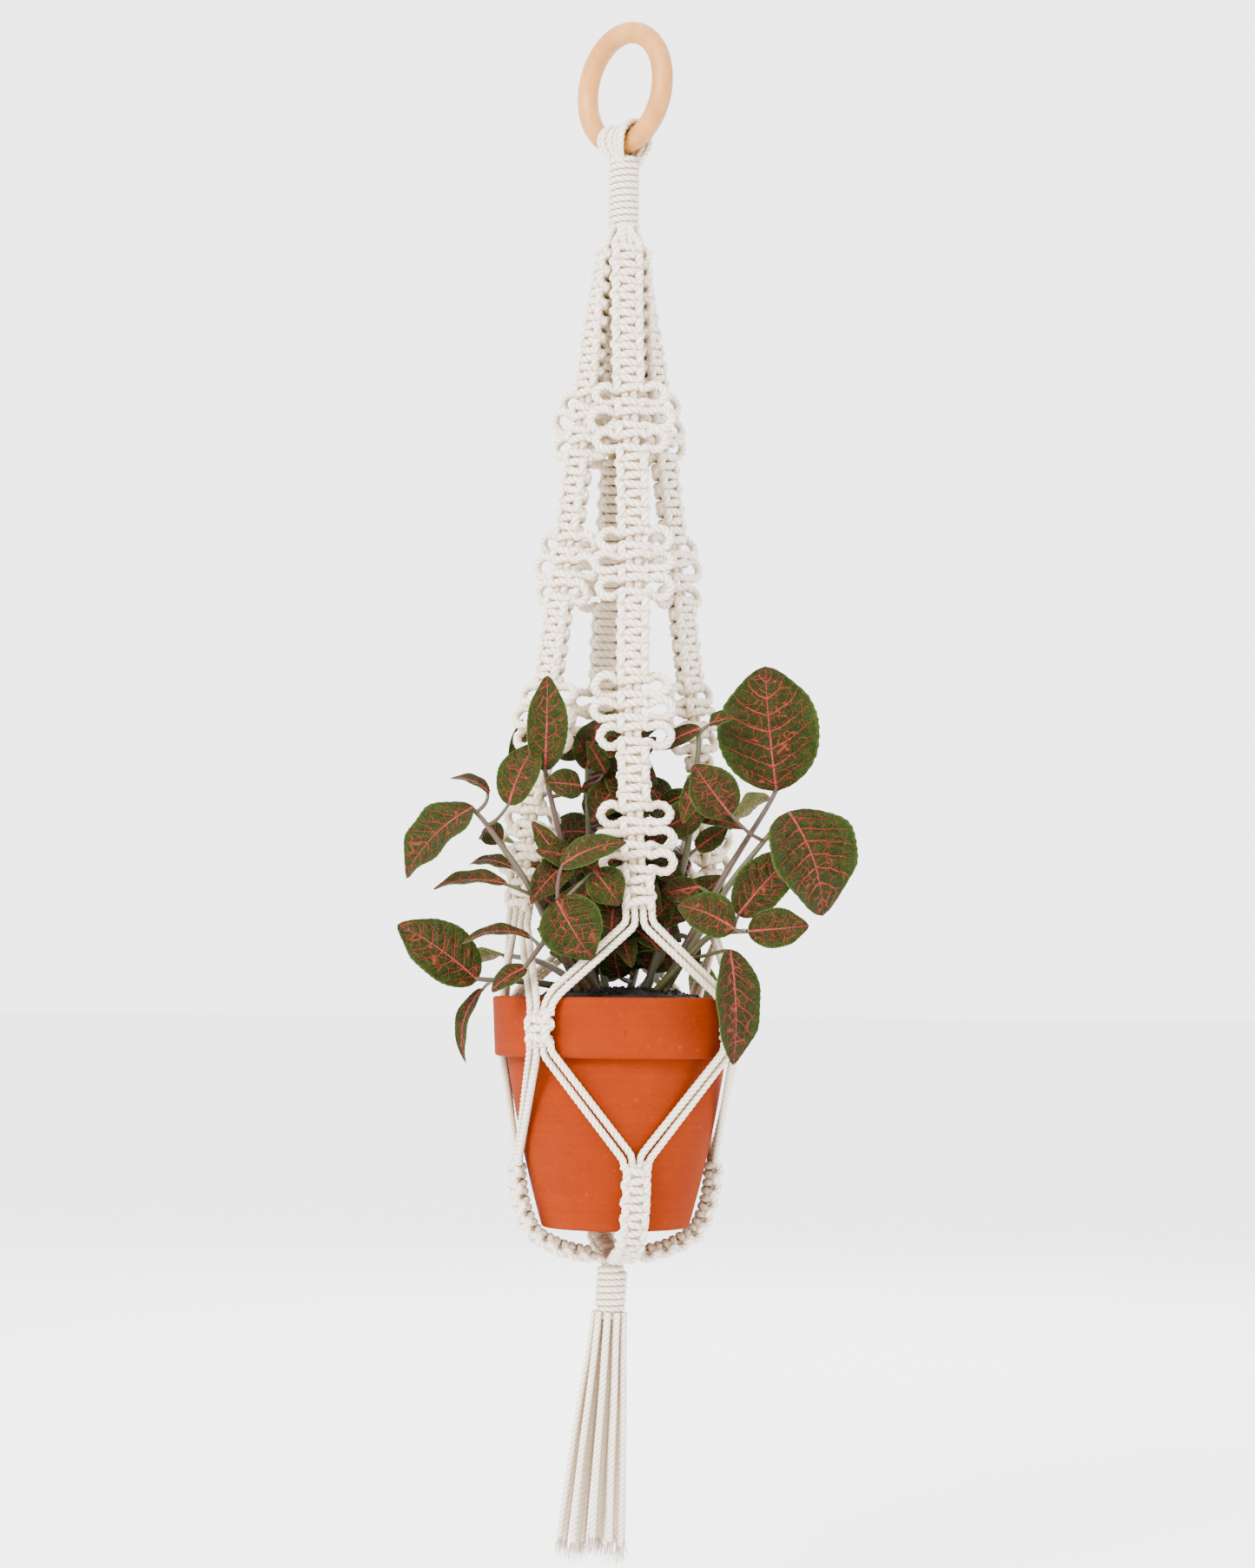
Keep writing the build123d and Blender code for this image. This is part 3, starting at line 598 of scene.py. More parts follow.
# ---- Square knots ---------------------------------------------------------------------------
# Of the two working cords, the first lies in a bar across the front in each half knot, and turns
# back at the side. The second goes behind the fillers, and comes forward in a bump at each side.
# Pairs are (across, out) from the sinnet's middle line.
BAR_HALF = 0.85 * CORD_D
BAR_OUT = 0.92 * CORD_D
BAR_PUFF = (0.04 * CORD_D, 0.24 * CORD_D)
BAR_SLANT = (0.10 * HALF_KNOT, 0.24 * HALF_KNOT)
BAR_END = (1.62 * CORD_D, 0.2 * CORD_D)
SIDE_TURN = (2.08 * CORD_D, -0.1 * CORD_D)
BACK_MIDDLE_OUT = -1.0 * CORD_D
BACK_EDGE = (0.9 * CORD_D, -0.92 * CORD_D)
BACK_END = (1.5 * CORD_D, 0.05 * CORD_D)
BACK_RISE = 0.42 * HALF_KNOT
BUMP = (1.55 * CORD_D, 1.0 * CORD_D)
BUMP_MIDDLE = (1.6 * CORD_D, 1.08 * CORD_D)
ENTRY = (1.75 * CORD_D, 0.5 * HALF_KNOT)          # across, and along from the first half knot
BACK_ENTRY = (1.6 * CORD_D, 0.5 * CORD_D, 0.7 * HALF_KNOT)
FILLER = (0.55 * CORD_D, 0.28 * CORD_D)
KNOT_SOFTNESS = 0.8
FILLER_SOFTNESS = 1.2

PICOT_SWELL = (1.05, 1.3)         # of a loop's bend, against PICOT_BEND_R
PICOT_SWAY = 1.4                  # along the arm
PICOT_TWIST = 2.6                 # out of the arm's plane
PICOT_EXTRA = 2.6                 # how much further out some loops stand
PICOT_WAIST = 1.9 * CORD_D
PICOT_NECK = 1.6
SECOND_PICOT_OUT = 0.28 * CORD_D

def knot_levels(start, end):
    """Places of an even number of half knots between two heights."""
    pairs = max(1, round(((end - start) / HALF_KNOT + 1) / 2))
    return list(np.linspace(start, end, 2 * pairs))

def picot(side, leg, out, middle, bend, sway):
    """One loop of cord that stands out to a side, between two half knots."""
    twist = random.uniform(-PICOT_TWIST, PICOT_TWIST)
    reach = ARM_EDGE + leg + random.uniform(0.0, PICOT_EXTRA)
    centre = middle + sway
    return [(side * PICOT_WAIST, out, middle - 0.75 * bend),
            (side * (reach - PICOT_NECK), out * 0.5 + twist, centre - 1.22 * bend),
            (side * (reach + bend * 0.75), twist, centre - 1.05 * bend),
            (side * (reach + bend * 1.45), 0.0, centre),
            (side * (reach + bend * 0.75), -twist, centre + 1.05 * bend),
            (side * (reach - PICOT_NECK), out * 0.5 - twist, centre + 1.22 * bend),
            (side * PICOT_WAIST, out, middle + 0.75 * bend)]

def square_knots(levels, legs, head, tail, head_spread, tail_spread):
    """Four cords tied in square knots, as lines in (across, out, down) coordinates.

    levels are the half knots' places, legs maps a half knot's number to the picot that follows
    it, head and tail are how far the cords run on past the first and last half knots, and the
    spreads are where the filler and the working cord lie there, from the middle."""
    last = len(levels) - 1
    top, low = levels[0], levels[-1]
    front = [(-head_spread[1], 0.0, top - head), (-ENTRY[0], 0.0, top - ENTRY[1])]
    back = [(head_spread[1], 0.0, top - head), (*BACK_ENTRY[:2], top - BACK_ENTRY[2]), (*BUMP, top)]
    for number, down in enumerate(levels):
        hand = 1 if number % 2 == 0 else -1
        slant = random.uniform(*BAR_SLANT)
        puff = BAR_OUT + random.uniform(*BAR_PUFF)
        front += [(-hand * BAR_END[0], BAR_END[1], down - slant),
                  (-hand * BAR_HALF, BAR_OUT, down - slant * 0.7), (0.0, puff, down),
                  (hand * BAR_HALF, BAR_OUT, down + slant * 0.7),
                  (hand * BAR_END[0], BAR_END[1], down + slant)]
        back += [(hand * BACK_END[0], BACK_END[1], down + BACK_RISE),
                 (hand * BACK_EDGE[0], BACK_EDGE[1], down), (0.0, BACK_MIDDLE_OUT, down),
                 (-hand * BACK_EDGE[0], BACK_EDGE[1], down),
                 (-hand * BACK_END[0], BACK_END[1], down - BACK_RISE), (-hand * BUMP[0], BUMP[1], down)]
        if number == last:
            break
        after = levels[number + 1]
        middle = (down + after) / 2
        if number in legs:
            bend = PICOT_BEND_R * random.uniform(*PICOT_SWELL)
            sway = random.uniform(-PICOT_SWAY, PICOT_SWAY)
            front += picot(hand, legs[number], 0.0, middle, bend, sway)
            back += picot(-hand, legs[number], SECOND_PICOT_OUT, middle, bend, sway)
        else:
            front.append((hand * SIDE_TURN[0], SIDE_TURN[1], middle))
            back.append((-hand * BUMP_MIDDLE[0], BUMP_MIDDLE[1], middle))
        back.append((-hand * BUMP[0], BUMP[1], after))
    front += [(hand * ENTRY[0], 0.0, low + ENTRY[1]), (hand * tail_spread[1], 0.0, low + tail)]
    back += [(-hand * BACK_ENTRY[0], BACK_ENTRY[1], low + BACK_ENTRY[2]),
             (-hand * tail_spread[1], 0.0, low + tail)]
    fillers = [[(side * head_spread[0], 0.0, top - head), (side * FILLER[0], FILLER[1], top),
                (side * FILLER[0], FILLER[1], low), (side * tail_spread[0], 0.0, low + tail)]
               for side in (-1, 1)]
    return [soften(front, KNOT_SOFTNESS), soften(back, KNOT_SOFTNESS),
            *(soften(one, FILLER_SOFTNESS) for one in fillers)]

ARM_RUN = math.dist(ARM_TOP, ARM_END)
TWIST_RUN = 90.0                  # the twist is taken up over this much of an arm
ARM_SWAY = 1.1
ARM_SWAY_RUN = 41.0
ARM_HEAD = 9.0                    # from an arm's top to its first half knot
ARM_TAIL = 4.0
WRAP_ENTRY = (3.4, -92.0)         # where the arms' cords go into the wrap: from the middle, and z
WRAP_ENTRY_TURNS = (-24, 24, -8, 8)

def arm_map(angle, turn):
    """Takes (across, out, down) on a straight arm to where it is in the hanger."""
    start = polar(ARM_TOP[0], angle, ARM_TOP[1])
    down = unit(polar(ARM_END[0], angle, ARM_END[1]) - start)
    across = tangent(angle)
    out = np.cross(down, across)

    def place(points):
        points = np.asarray(points, float)
        share = np.clip(points[:, 2] / TWIST_RUN, 0, 1)
        twist = math.radians(turn) * share * share * (3 - 2 * share)
        sway = ARM_SWAY * np.sin(points[:, 2] / ARM_SWAY_RUN + angle) * share
        sideways = points[:, 0] * np.cos(twist) - points[:, 1] * np.sin(twist) + sway
        outwards = points[:, 0] * np.sin(twist) + points[:, 1] * np.cos(twist)
        return (start + points[:, 2:3] * down + sideways[:, None] * across
                + outwards[:, None] * out)

    return place

def arms():
    """Four sinnets of square knots, each with four clusters of picots."""
    gap = (PICOT_STEP - HALF_KNOT) / 2
    for name, angle, turn in zip(ARM_NAMES, ARM_ANGLES, ARM_TURNS):
        levels, legs = [], {}
        begin = ARM_HEAD
        for cluster in PICOT_CLUSTERS:
            for leg, step in zip(PICOT_LEGS, (-PICOT_STEP, 0.0, PICOT_STEP)):
                middle = cluster + step
                levels += knot_levels(begin, middle - gap)
                legs[len(levels) - 1] = leg
                begin = middle + gap
        levels += knot_levels(begin, ARM_RUN - ARM_TAIL)
        lines = square_knots(levels, legs, 9.5, 3.0, (1.6, 2.4), ARM_SLOTS)
        place = arm_map(angle, turn)
        # Above the arm the cords go on, up into the wrap.
        into_wrap = [np.vstack(([polar(WRAP_ENTRY[0], angle + aside, WRAP_ENTRY[1])], place(line)))
                     for line, aside in zip(lines, WRAP_ENTRY_TURNS)]
        cord_piece(f"arm_{name}_cords", [soften(line, 1.0) for line in into_wrap], "hanger",
                   f"arm_{name}", f"picots_{name}", radius=KNOT_CORD_R)

NET_KNOT_LEVELS = (3.1, 7.6, 12.1)
NET_KNOT_SQUEEZE = (0.88, 0.78)   # against a knot on an arm: across, and out
UPPER_SOFTNESS = 2.2
LOWER_SOFTNESS = 1.8
STRAIGHT_RUNS = (6.0, 3.5)        # at the ends of a lower cord: the longer and the shorter one

def knot_point(angle, slot, z):
    return polar(KNOT_MID_R, angle, z) + tangent(angle) * slot

def upper_cord(place, angle, side, far):
    """One cord from the end of an arm, over the rim, to a net knot."""
    knot_angle = angle + side * 45.0
    knot_slot = -side * CORD_SLOTS[not far]
    arm_slot = side * ARM_SLOTS[far]
    leave = place([(arm_slot, 0.0, ARM_RUN - ARM_TAIL), (arm_slot, 0.0, ARM_RUN + 2.0),
                   (arm_slot * 0.95, 0.3, ARM_RUN + (6.0 if far else 8.0))])
    slot_turn = math.degrees(knot_slot / KNOT_MID_R)
    over_rim = polar(OVER_RIM_R, knot_angle + slot_turn - side * OVER_RIM_TURN,
                     RIM_TOP_Z + OVER_RIM_UP[far])
    return soften([*leave, over_rim, knot_point(knot_angle, knot_slot, KNOT_TOP_Z + 4),
                   knot_point(knot_angle, knot_slot, KNOT_TOP_Z - 1)], UPPER_SOFTNESS)

def lower_cord(angle, side, far):
    """One cord from a net knot down to a cradle strap."""
    knot_angle = angle + side * 45.0
    knot_slot = -side * CORD_SLOTS[not far]
    first_run, last_run = STRAIGHT_RUNS if far else STRAIGHT_RUNS[::-1]
    strap_top = polar(STRAP_LINE[0][0], angle, STRAP_TOP_Z) + tangent(angle) * side * CORD_SLOTS[far]
    return soften([knot_point(knot_angle, knot_slot, KNOT_LOW_Z + 1),
                   knot_point(knot_angle, knot_slot, KNOT_LOW_Z - first_run),
                   strap_top + (0, 0, last_run), strap_top - (0, 0, 1)], LOWER_SOFTNESS)

def net_knot(name, next_name, angle):
    lines = square_knots(NET_KNOT_LEVELS, {}, 4.6, 4.6, CORD_SLOTS, CORD_SLOTS)
    across = tangent(angle) * NET_KNOT_SQUEEZE[0]
    out = polar(NET_KNOT_SQUEEZE[1], angle, 0.0)
    top = polar(KNOT_MID_R, angle, KNOT_TOP_Z)
    placed = [top + line[:, :1] * across + line[:, 1:2] * out
              - line[:, 2:] * np.array((0.0, 0.0, 1.0)) for line in lines]
    cord_piece(f"knot_{name}_{next_name}", placed, "hanger", f"net_knot_{name}_{next_name}",
               radius=KNOT_CORD_R)

def net():
    """Pairs of cords that part at each arm's end, are tied on the rim and part again."""
    for index, (name, angle, turn) in enumerate(zip(ARM_NAMES, ARM_ANGLES, ARM_TURNS)):
        place = arm_map(angle, turn)
        for side, hand in ((1, "a"), (-1, "b")):
            upper = [upper_cord(place, angle, side, far) for far in (True, False)]
            lower = [lower_cord(angle, side, far) for far in (True, False)]
            cord_piece(f"upper_cords_{name}_{hand}", upper, "hanger", f"net_upper_{name}_{hand}")
            cord_piece(f"lower_cords_{name}_{hand}", lower, "hanger", f"net_lower_{name}_{hand}")
        net_knot(name, ARM_NAMES[(index + 1) % 4], angle + 45.0)

STRAP_STEP = 0.5
STRAP_SQUEEZE = 0.72              # of the knots, out from the strap's line
STRAP_WIDTH = 0.86
STRAP_NARROWING = (0.18, 22.0)    # how much narrower the end is, and over what length
STRAP_ENTRY_TURNS = (-26, 26, -9, 9)

def cradle():
    """Four straps of square knots, which curl in under the pot."""
    for name, angle in zip(ARM_NAMES, ARM_ANGLES):
        middle = soften([polar(radius, angle, z) for radius, z in STRAP_LINE], 5.0, STRAP_STEP)
        reached = np.arange(len(middle)) * STRAP_STEP
        length = reached[-1]
        along = np.gradient(middle, axis=0)
        along /= np.linalg.norm(along, axis=1)[:, None]
        across = tangent(angle)
        out = np.cross(along, across)
        lines = square_knots(knot_levels(4.0, length - 3.0), {}, 4.0, 3.0, CORD_SLOTS, (1.6, 3.6))
        gathered = []
        for line, aside in zip(lines, STRAP_ENTRY_TURNS):
            down = np.clip(line[:, 2], 0, length)
            at = np.column_stack([np.interp(down, reached, middle[:, axis]) for axis in range(3)])
            facing = np.column_stack([np.interp(down, reached, out[:, axis]) for axis in range(3)])
            less, over = STRAP_NARROWING
            width = STRAP_WIDTH - less * np.clip((down - length + over) / over, 0, 1)
            placed = (at + (line[:, 0] * width)[:, None] * across
                      + line[:, 1:2] * STRAP_SQUEEZE * facing)
            # Past the strap the cords turn down together into the bottom wrap.
            entry = PIVOT + polar(3.6, angle + aside, -1.5)
            lower = PIVOT + polar(3.2, angle + aside, -5.0)
            above_entry = entry + polar(3.0, angle + aside, 1.6)
            gathered.append(soften(np.vstack((placed, [above_entry, entry, lower])), 1.1))
        cord_piece(f"strap_{name}_cords", gathered, "hanger", f"cradle_strap_{name}",
                   radius=KNOT_CORD_R * 0.95)

# ---- Loop over the ring, and the two wraps --------------------------------------------------
TUCK_TURNS = 0.3                  # the part of a turn in which a coil's end goes under
TUCK_DEPTH = 2.6
LOOP_LIFT = 0.86 * CORD_D / 2
LOOP_OVERLAP = 0.9                # every other cord lies this much further out
LOOP_OVER = 128                   # degrees round the bar, each way from its top
LOOP_STEP = 16
LOOP_END = (2.16, -70.0)          # the loop's hidden ends: radius and height
LOOP_END_SPREAD = 2.2
TOP_BUNDLE = ((3.4, -66.0), (3.9, -80.0), (4.1, -98.5), (4.6, -103.0))
BOTTOM_BUNDLE = ((3.4, -1.0), (4.4, 5.0), (4.2, STRAND_DROP - 4.0), (6.0, STRAND_DROP + 4.0))
BOTTOM_WRAP_EXTRA = (0.6, 1.8)    # past the wrap's CAD length, at its top and its lower end

def coil(origin, down, across, length):
    """A tight coil of cord, whose ends tuck in under the turns."""
    aside = np.cross(down, across)
    turns = length / WRAP_PITCH
    points = []
    for share in np.linspace(0.0, 1.0, int(turns * 2 * math.pi * WRAP_R / RING_STEP)):
        turn = share * turns * 2 * math.pi
        tuck = min(share, 1.0 - share) * turns / TUCK_TURNS
        reach = WRAP_R - TUCK_DEPTH * max(0.0, 1.0 - tuck)
        points.append(origin + down * (share * length)
                      + (across * math.cos(turn) + aside * math.sin(turn)) * reach)
    return np.array(points)

def hanging_loop():
    """Eight cords over the ring's bar, the bundle of sixteen below it, and the coil round that."""
    ring_radius = (RING_OUTER_D - RING_BAR_D) / 2
    hinge = np.array((0.0, 0.0, -(RING_OUTER_D / 2 - RING_BAR_D) - ring_radius))
    along = polar(1.0, RING_YAW, 0.0)
    beside = np.cross(along, (0, 0, 1))
    inner = RING_OUTER_D / 2 - RING_BAR_D - LOOP_GAP
    lines = []
    for number, across in enumerate(LOOP_REACHES):
        reach = ring_radius - math.sqrt(inner ** 2 - across ** 2) + LOOP_LIFT
        reach += LOOP_OVERLAP * (number % 2)
        turn = random.uniform(-2.5, 2.5)
        hidden = polar(LOOP_END[0], 45.0 * number + 20.0, LOOP_END[1])
        points = [hidden + beside * LOOP_END_SPREAD]
        for degrees in range(-LOOP_OVER, LOOP_OVER + 1, LOOP_STEP):
            swing = math.radians(degrees + turn)
            tighten = 1.0 - 0.35 * max(0.0, (abs(degrees) - 70) / 58) ** 2
            points.append(hinge + along * across * tighten
                          - beside * reach * math.sin(swing)
                          + np.array((0, 0, 1)) * reach * math.cos(swing))
        points.append(hidden - beside * LOOP_END_SPREAD)
        lines.append(soften(points, 1.4))
    for number in range(CORDS):
        angle = number * 360 / CORDS
        lines.append(soften([polar(radius, angle, z) for radius, z in TOP_BUNDLE], 1.0))
    cord_piece("loop_cords", lines, "hanger", "hanging_loop", radius=BUNDLED_CORD_R)
    line = coil(np.array((0.0, 0.0, TOP_WRAP[0])), np.array((0.0, 0.0, -1.0)), polar(1.0, 20.0, 0.0),
                TOP_WRAP[0] - TOP_WRAP[1])
    cord_piece("top_wrap_cord", [line], "hanger", "top_wrap", radius=WRAP_CORD_D / 2)

def bottom_wrap():
    """The sixteen cords drawn together under the pot, and the coil round them."""
    lines = [soften([tassel_point(radius, number * 360 / CORDS, drop)
                     for radius, drop in BOTTOM_BUNDLE], 1.0) for number in range(CORDS)]
    cord_piece("bundle_cords", lines, "tassel", "gathered_core", radius=BUNDLED_CORD_R)
    start = PIVOT + tassel_down * (WRAP_DROP + WRAP_CORD_D / 2 - BOTTOM_WRAP_EXTRA[0])
    length = BOTTOM_WRAP_TURNS * WRAP_PITCH - WRAP_CORD_D + sum(BOTTOM_WRAP_EXTRA)
    cord_piece("bottom_wrap_cord", [coil(start, tassel_down, tassel_across, length)], "tassel",
               "bottom_wrap", radius=WRAP_CORD_D / 2)

# ---- Plant ----------------------------------------------------------------------------------
# Each leaf: where the blade starts, its tip, its width, the way its face looks and the point
# that its stem passes, in the plant's frame: across, out towards the front, up from the rim.
LEAVES = {
    "leaves_left": (
        ((-38, 42, 115), (-37, 42, 164), 21, (0.2, 1, 0.1), (-27, 32, 70)),
        ((-56, -26, 118), (-51, -25, 147), 13, (0.3, 1, 0), (-44, -28, 90)),
        ((-56, 50, 97), (-43, 47, 131), 21, (-0.2, 1, 0.3), (-40, 38, 62)),
        ((-66, 36, 104), (-86, 33, 113), 10, (0, 0.5, 1), (-42, 44, 72)),
        ((-74, 38, 97), (-110, 40, 62), 28, (-0.3, 0.8, 0.6), (-46, 42, 58)),
        ((-60, 24, 80), (-71, 19, 87), 13, (0, 1, 0.2), (-44, 40, 54)),
        ((-56, 46, 57), (-94, 44, 55), 14, (0, 0.6, 1), (-34, 34, 34)),
        ((-54, 30, 66), (-76, 27, 72), 12, (0, 0.6, 1), (-36, 30, 42)),
        ((-44, 51, 30), (-79, 53, 29), 12, (0, 0.5, 1), (-26, 32, 18)),
        ((-72, 20, 8), (-113, 26, 37), 30, (-0.2, 1, 0.5), (-46, 12, 8)),
        ((-46, 56, 15), (-64, 60, 4), 12, (-0.2, 0.8, 0.5), (-34, 46, 34)),
        ((-70, 5, 4), (-84, 8, -33), 10, (-0.6, 0.7, 0.3), (-46, 2, 7)),
    ),
    "leaves_middle": (
        ((-17, 6, 118), (-10, 4, 146), 20, (0, 1, 0), (-14, 6, 60)),
        ((-29, 64, 66), (3, 68, 80), 16, (0, 1, 0.6), (-32, 46, 38)),
        ((-12, 57, 64), (1, 60, 47), 20, (0, 1, 0.2), (-20, 42, 48)),
        ((-31, 62, 49), (-13, 66, 20), 32, (0, 1, 0.1), (-24, 39, 26)),
        ((38, 12, 68), (24, 14, 73), 8, (0, 1, 0.5), (24, 8, 40)),
        ((42, 34, 57), (22, 30, 53), 13, (0, 1, 0.1), (44, 30, 30)),
        ((40, 14, 30), (38, 12, 13), 9, (0.2, 1, 0), (31, 11, 36)),
    ),
    "leaves_right": (
        ((82, 14, 107), (76, 6, 173), 52, (-0.15, 1, 0.15), (54, 28, 62)),
        ((87, 38, 96), (108, 48, 46), 47, (0.2, 1, 0.5), (58, 36, 60)),
        ((57, 51, 93), (38, 56, 118), 25, (0, 1, 0.2), (44, 34, 50)),
        ((41, 46, 115), (32, 51, 89), 11, (-0.3, 1, 0), (38, 32, 72)),
        ((42, 27, 139), (20, 22, 129), 10, (0, 1, 0.4), (36, 20, 76)),
        ((46, 29, 141), (58, 32, 144), 11, (0, 0.7, 0.7), (39, 19, 80)),
        ((38, 26, 93), (65, 28, 88), 9, (0, 1, 0.5), (30, 14, 50)),
        ((61, 44, 42), (91, 42, 75), 26, (-0.2, 1, 0.2), (42, 30, 28)),
        ((59, 62, 35), (31, 64, 48), 22, (0, 1, 0.2), (38, 42, 42)),
        ((66, 52, 34), (97, 54, 37), 21, (0, 1, 0.3), (48, 36, 34)),
        ((57, 56, 25), (60, 56, -34), 26, (0.5, 0.85, 0.1), (42, 44, 38)),
    ),
    "leaves_back": (
        ((-48, -32, 75), (-74, -48, 86), 25, (-0.3, -0.4, 0.9), (-26, -17, 42)),
        ((32, -48, 70), (50, -75, 80), 25, (0.3, -0.4, 0.9), (16, -25, 40)),
        ((-42, -34, 106), (-47, -37, 146), 19, (-0.5, -0.8, 0), (-24, -22, 70)),
        ((44, -66, 20), (47, -70, -24), 20, (0.5, -0.8, 0.3), (26, -40, 16)),
        ((60, -46, 92), (82, -56, 108), 24, (0.3, -0.5, 0.9), (36, -36, 52)),
        ((-60, -38, 22), (-86, -50, 9), 21, (-0.3, -0.4, 0.9), (-38, -24, 18)),
    ),
}
ROOT_SCALE = 0.42
ROOT_UP = 3.0
BLADE_GRID = (44, 18)             # faces along and across a leaf
INNER_GRID = (26, 10)
BLADE_THICK = 0.45
BASE_POWER = 0.56                 # how blunt a blade is at each end: lower is blunter
TIP_POWER = 0.70
TIP_FROM = 0.72                   # where it draws in to its point, and by how much
TIP_PINCH = 0.07
TOOTH = 0.035
PUCKER = 0.030
RIPPLE = 0.025
FLATTEST = (0.04, -0.24, 0.10, 0.8)       # arch, curl, lift and wave
MOST_BENT = (0.13, 0.02, 0.34, 1.8)

def plant_vector(across, out, up):
    turn = math.radians(PLANT_TURN)
    return np.array((across * math.cos(turn) + out * math.sin(turn),
                     across * math.sin(turn) - out * math.cos(turn), up))

def plant_point(across, out, up):
    return plant_vector(across, out, up) + (0, 0, RIM_TOP_Z)

def blade(base, tip, width, face, tint, grid):
    """One leaf: points, faces, both sets of places on the blade, tints and each face's side."""
    start = plant_point(*base)
    rib = plant_point(*tip) - start
    length = np.linalg.norm(rib)
    along = rib / length
    across = unit(np.cross(plant_vector(*face), along))
    facing = np.cross(along, across)
    t, x = np.meshgrid(np.linspace(0.0, 1.0, grid[0] + 1), np.linspace(-1.0, 1.0, grid[1] + 1),
                       indexing="ij")
    edge = np.abs(x)
    outline = t ** BASE_POWER * (1 - t) ** TIP_POWER
    outline /= outline.max()
    outline -= TIP_PINCH * np.sin(math.pi * np.clip((t - TIP_FROM) / (1 - TIP_FROM), 0, 1))
    teeth = 1.0 + TOOTH * np.abs(np.sin(t * math.pi * VEIN_PAIRS * 2))
    half = width / 2 * outline * teeth
    arch, curl, lift, wave = random.uniform(FLATTEST, MOST_BENT)
    phase = random.uniform(0, 6.28, 2)
    swept = t - VEIN_SWEEP * edge ** VEIN_BEND
    pucker = np.cos((swept * VEIN_PAIRS - 0.5) * 2 * math.pi)
    pucker *= -PUCKER * width * np.sin(math.pi * edge) * outline
    ripple = RIPPLE * width * wave * edge ** 2.5 * np.sin(t * 15.0 + phase[0] + np.sign(x) * phase[1])
    bow = length * (arch * 4 * t * (1 - t) + curl * t ** 3)
    fold = half * lift * edge ** 1.3
    sideways = length * random.uniform(-0.04, 0.04) * np.sin(math.pi * t)
    flat = start + t[..., None] * rib + (x * half + sideways)[..., None] * across
    top = flat + (bow + fold + pucker + ripple)[..., None] * facing
    low = top - facing * BLADE_THICK
    total = t.size
    index = np.arange(total).reshape(t.shape)
    a, b, c, d = index[:-1, :-1], index[:-1, 1:], index[1:, 1:], index[1:, :-1]
    upper = np.stack((a, b, c, d), axis=-1).reshape(-1, 4)
    under = np.stack((a, d, c, b), axis=-1).reshape(-1, 4) + total
    border = np.concatenate((index[0, :], index[1:, -1], index[-1, -2::-1], index[-2:0:-1, 0]))
    after = np.roll(border, -1)
    rim = np.stack((border, border + total, after + total, after), axis=-1)
    relative = np.stack((x / 2 + 0.5, t), axis=-1).reshape(-1, 2)
    real = np.stack((x * half * UV_SCALE, t * length * UV_SCALE), axis=-1).reshape(-1, 2)
    real[:, 1] += random.uniform(0, 30)
    points = np.vstack((top.reshape(-1, 3), low.reshape(-1, 3)))
    sides = [0] * len(upper) + [1] * (len(under) + len(rim))
    return (points, np.vstack((upper, under, rim)), np.vstack((relative, relative)),
            np.vstack((real, real)), np.full(len(points), tint), sides)

def leaves(name, rows, *replaced, grid=BLADE_GRID):
    """One piece with every blade of a group. A row is (base, tip, width, face, tint)."""
    points, faces, relative, real, tints, sides = [], [], [], [], [], []
    count = 0
    for row in rows:
        made = blade(*row, grid)
        points.append(made[0])
        faces.append(made[1] + count)
        count += len(made[0])
        relative.append(made[2])
        real.append(made[3])
        tints.append(made[4])
        sides += made[5]
    faces = np.vstack(faces)
    piece = new_object(name, np.vstack(points), faces.tolist(), (LEAF, LEAF_UNDER), "planted_pot")
    piece.data.polygons.foreach_set("material_index", sides)
    corners = faces.ravel()
    loop_uvs(piece.data, "UVMap", np.vstack(relative)[corners])
    loop_uvs(piece.data, "real", np.vstack(real)[corners])
    point_values(piece.data, "tint", np.concatenate(tints))
    if replaced:
        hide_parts(*replaced)

MAIN_STEMS = {
    "leaves_left": (0, 4, 9, 10),
    "leaves_middle": (0, 3, 6),
    "leaves_right": (0, 1, 4, 9),
    "leaves_back": (0, 1, 2, 3, 4, 5),
}
MAIN_STEM_R = 2.1
STALK_R = 1.0
STEM_STEP = 1.5
STEM_TUCK = 1.5                   # how far a stem goes on into its blade
BELOW_LEAF = 5.0                  # how far below a leaf its stalk would best start
STALK_SAG = 0.06

# The leaves inside the net, and the room that the arms and net cords need.
ARM_END_UP = ARM_END[1] - RIM_TOP_Z        # the arms' lower ends, above the rim
NET_CLEAR_R = 45.0
LOWEST_LEAF = 8.0
PICOT_REACH = 20.0
ARM_CLEAR = 6.0
TURN_ROOM = 0.14                  # the tangent of the 8 degrees that the pot turns
INNER_TRIES = 2500
INNER_LEAVES = 150
INNER_REACH = 66.0
LEAF_TURN = 137.5                 # between one leaf and the next, in degrees
LOW_LEAVES = (14, 56)
HIGH_LEAVES = (40, 142)
INNER_LENGTH = (22, 36)
INNER_WIDTH = (0.48, 0.64)        # as a share of the length

def stem_line(base, tip, passing):
    """A main stem, from the soil past its passing point to the leaf at its end."""
    start = plant_point(passing[0] * ROOT_SCALE, passing[1] * ROOT_SCALE, ROOT_UP)
    end = plant_point(*base)
    towards = unit(plant_point(*tip) - end)
    return soften([start, plant_point(*passing), end, end + towards * STEM_TUCK], 7.0, STEM_STEP)

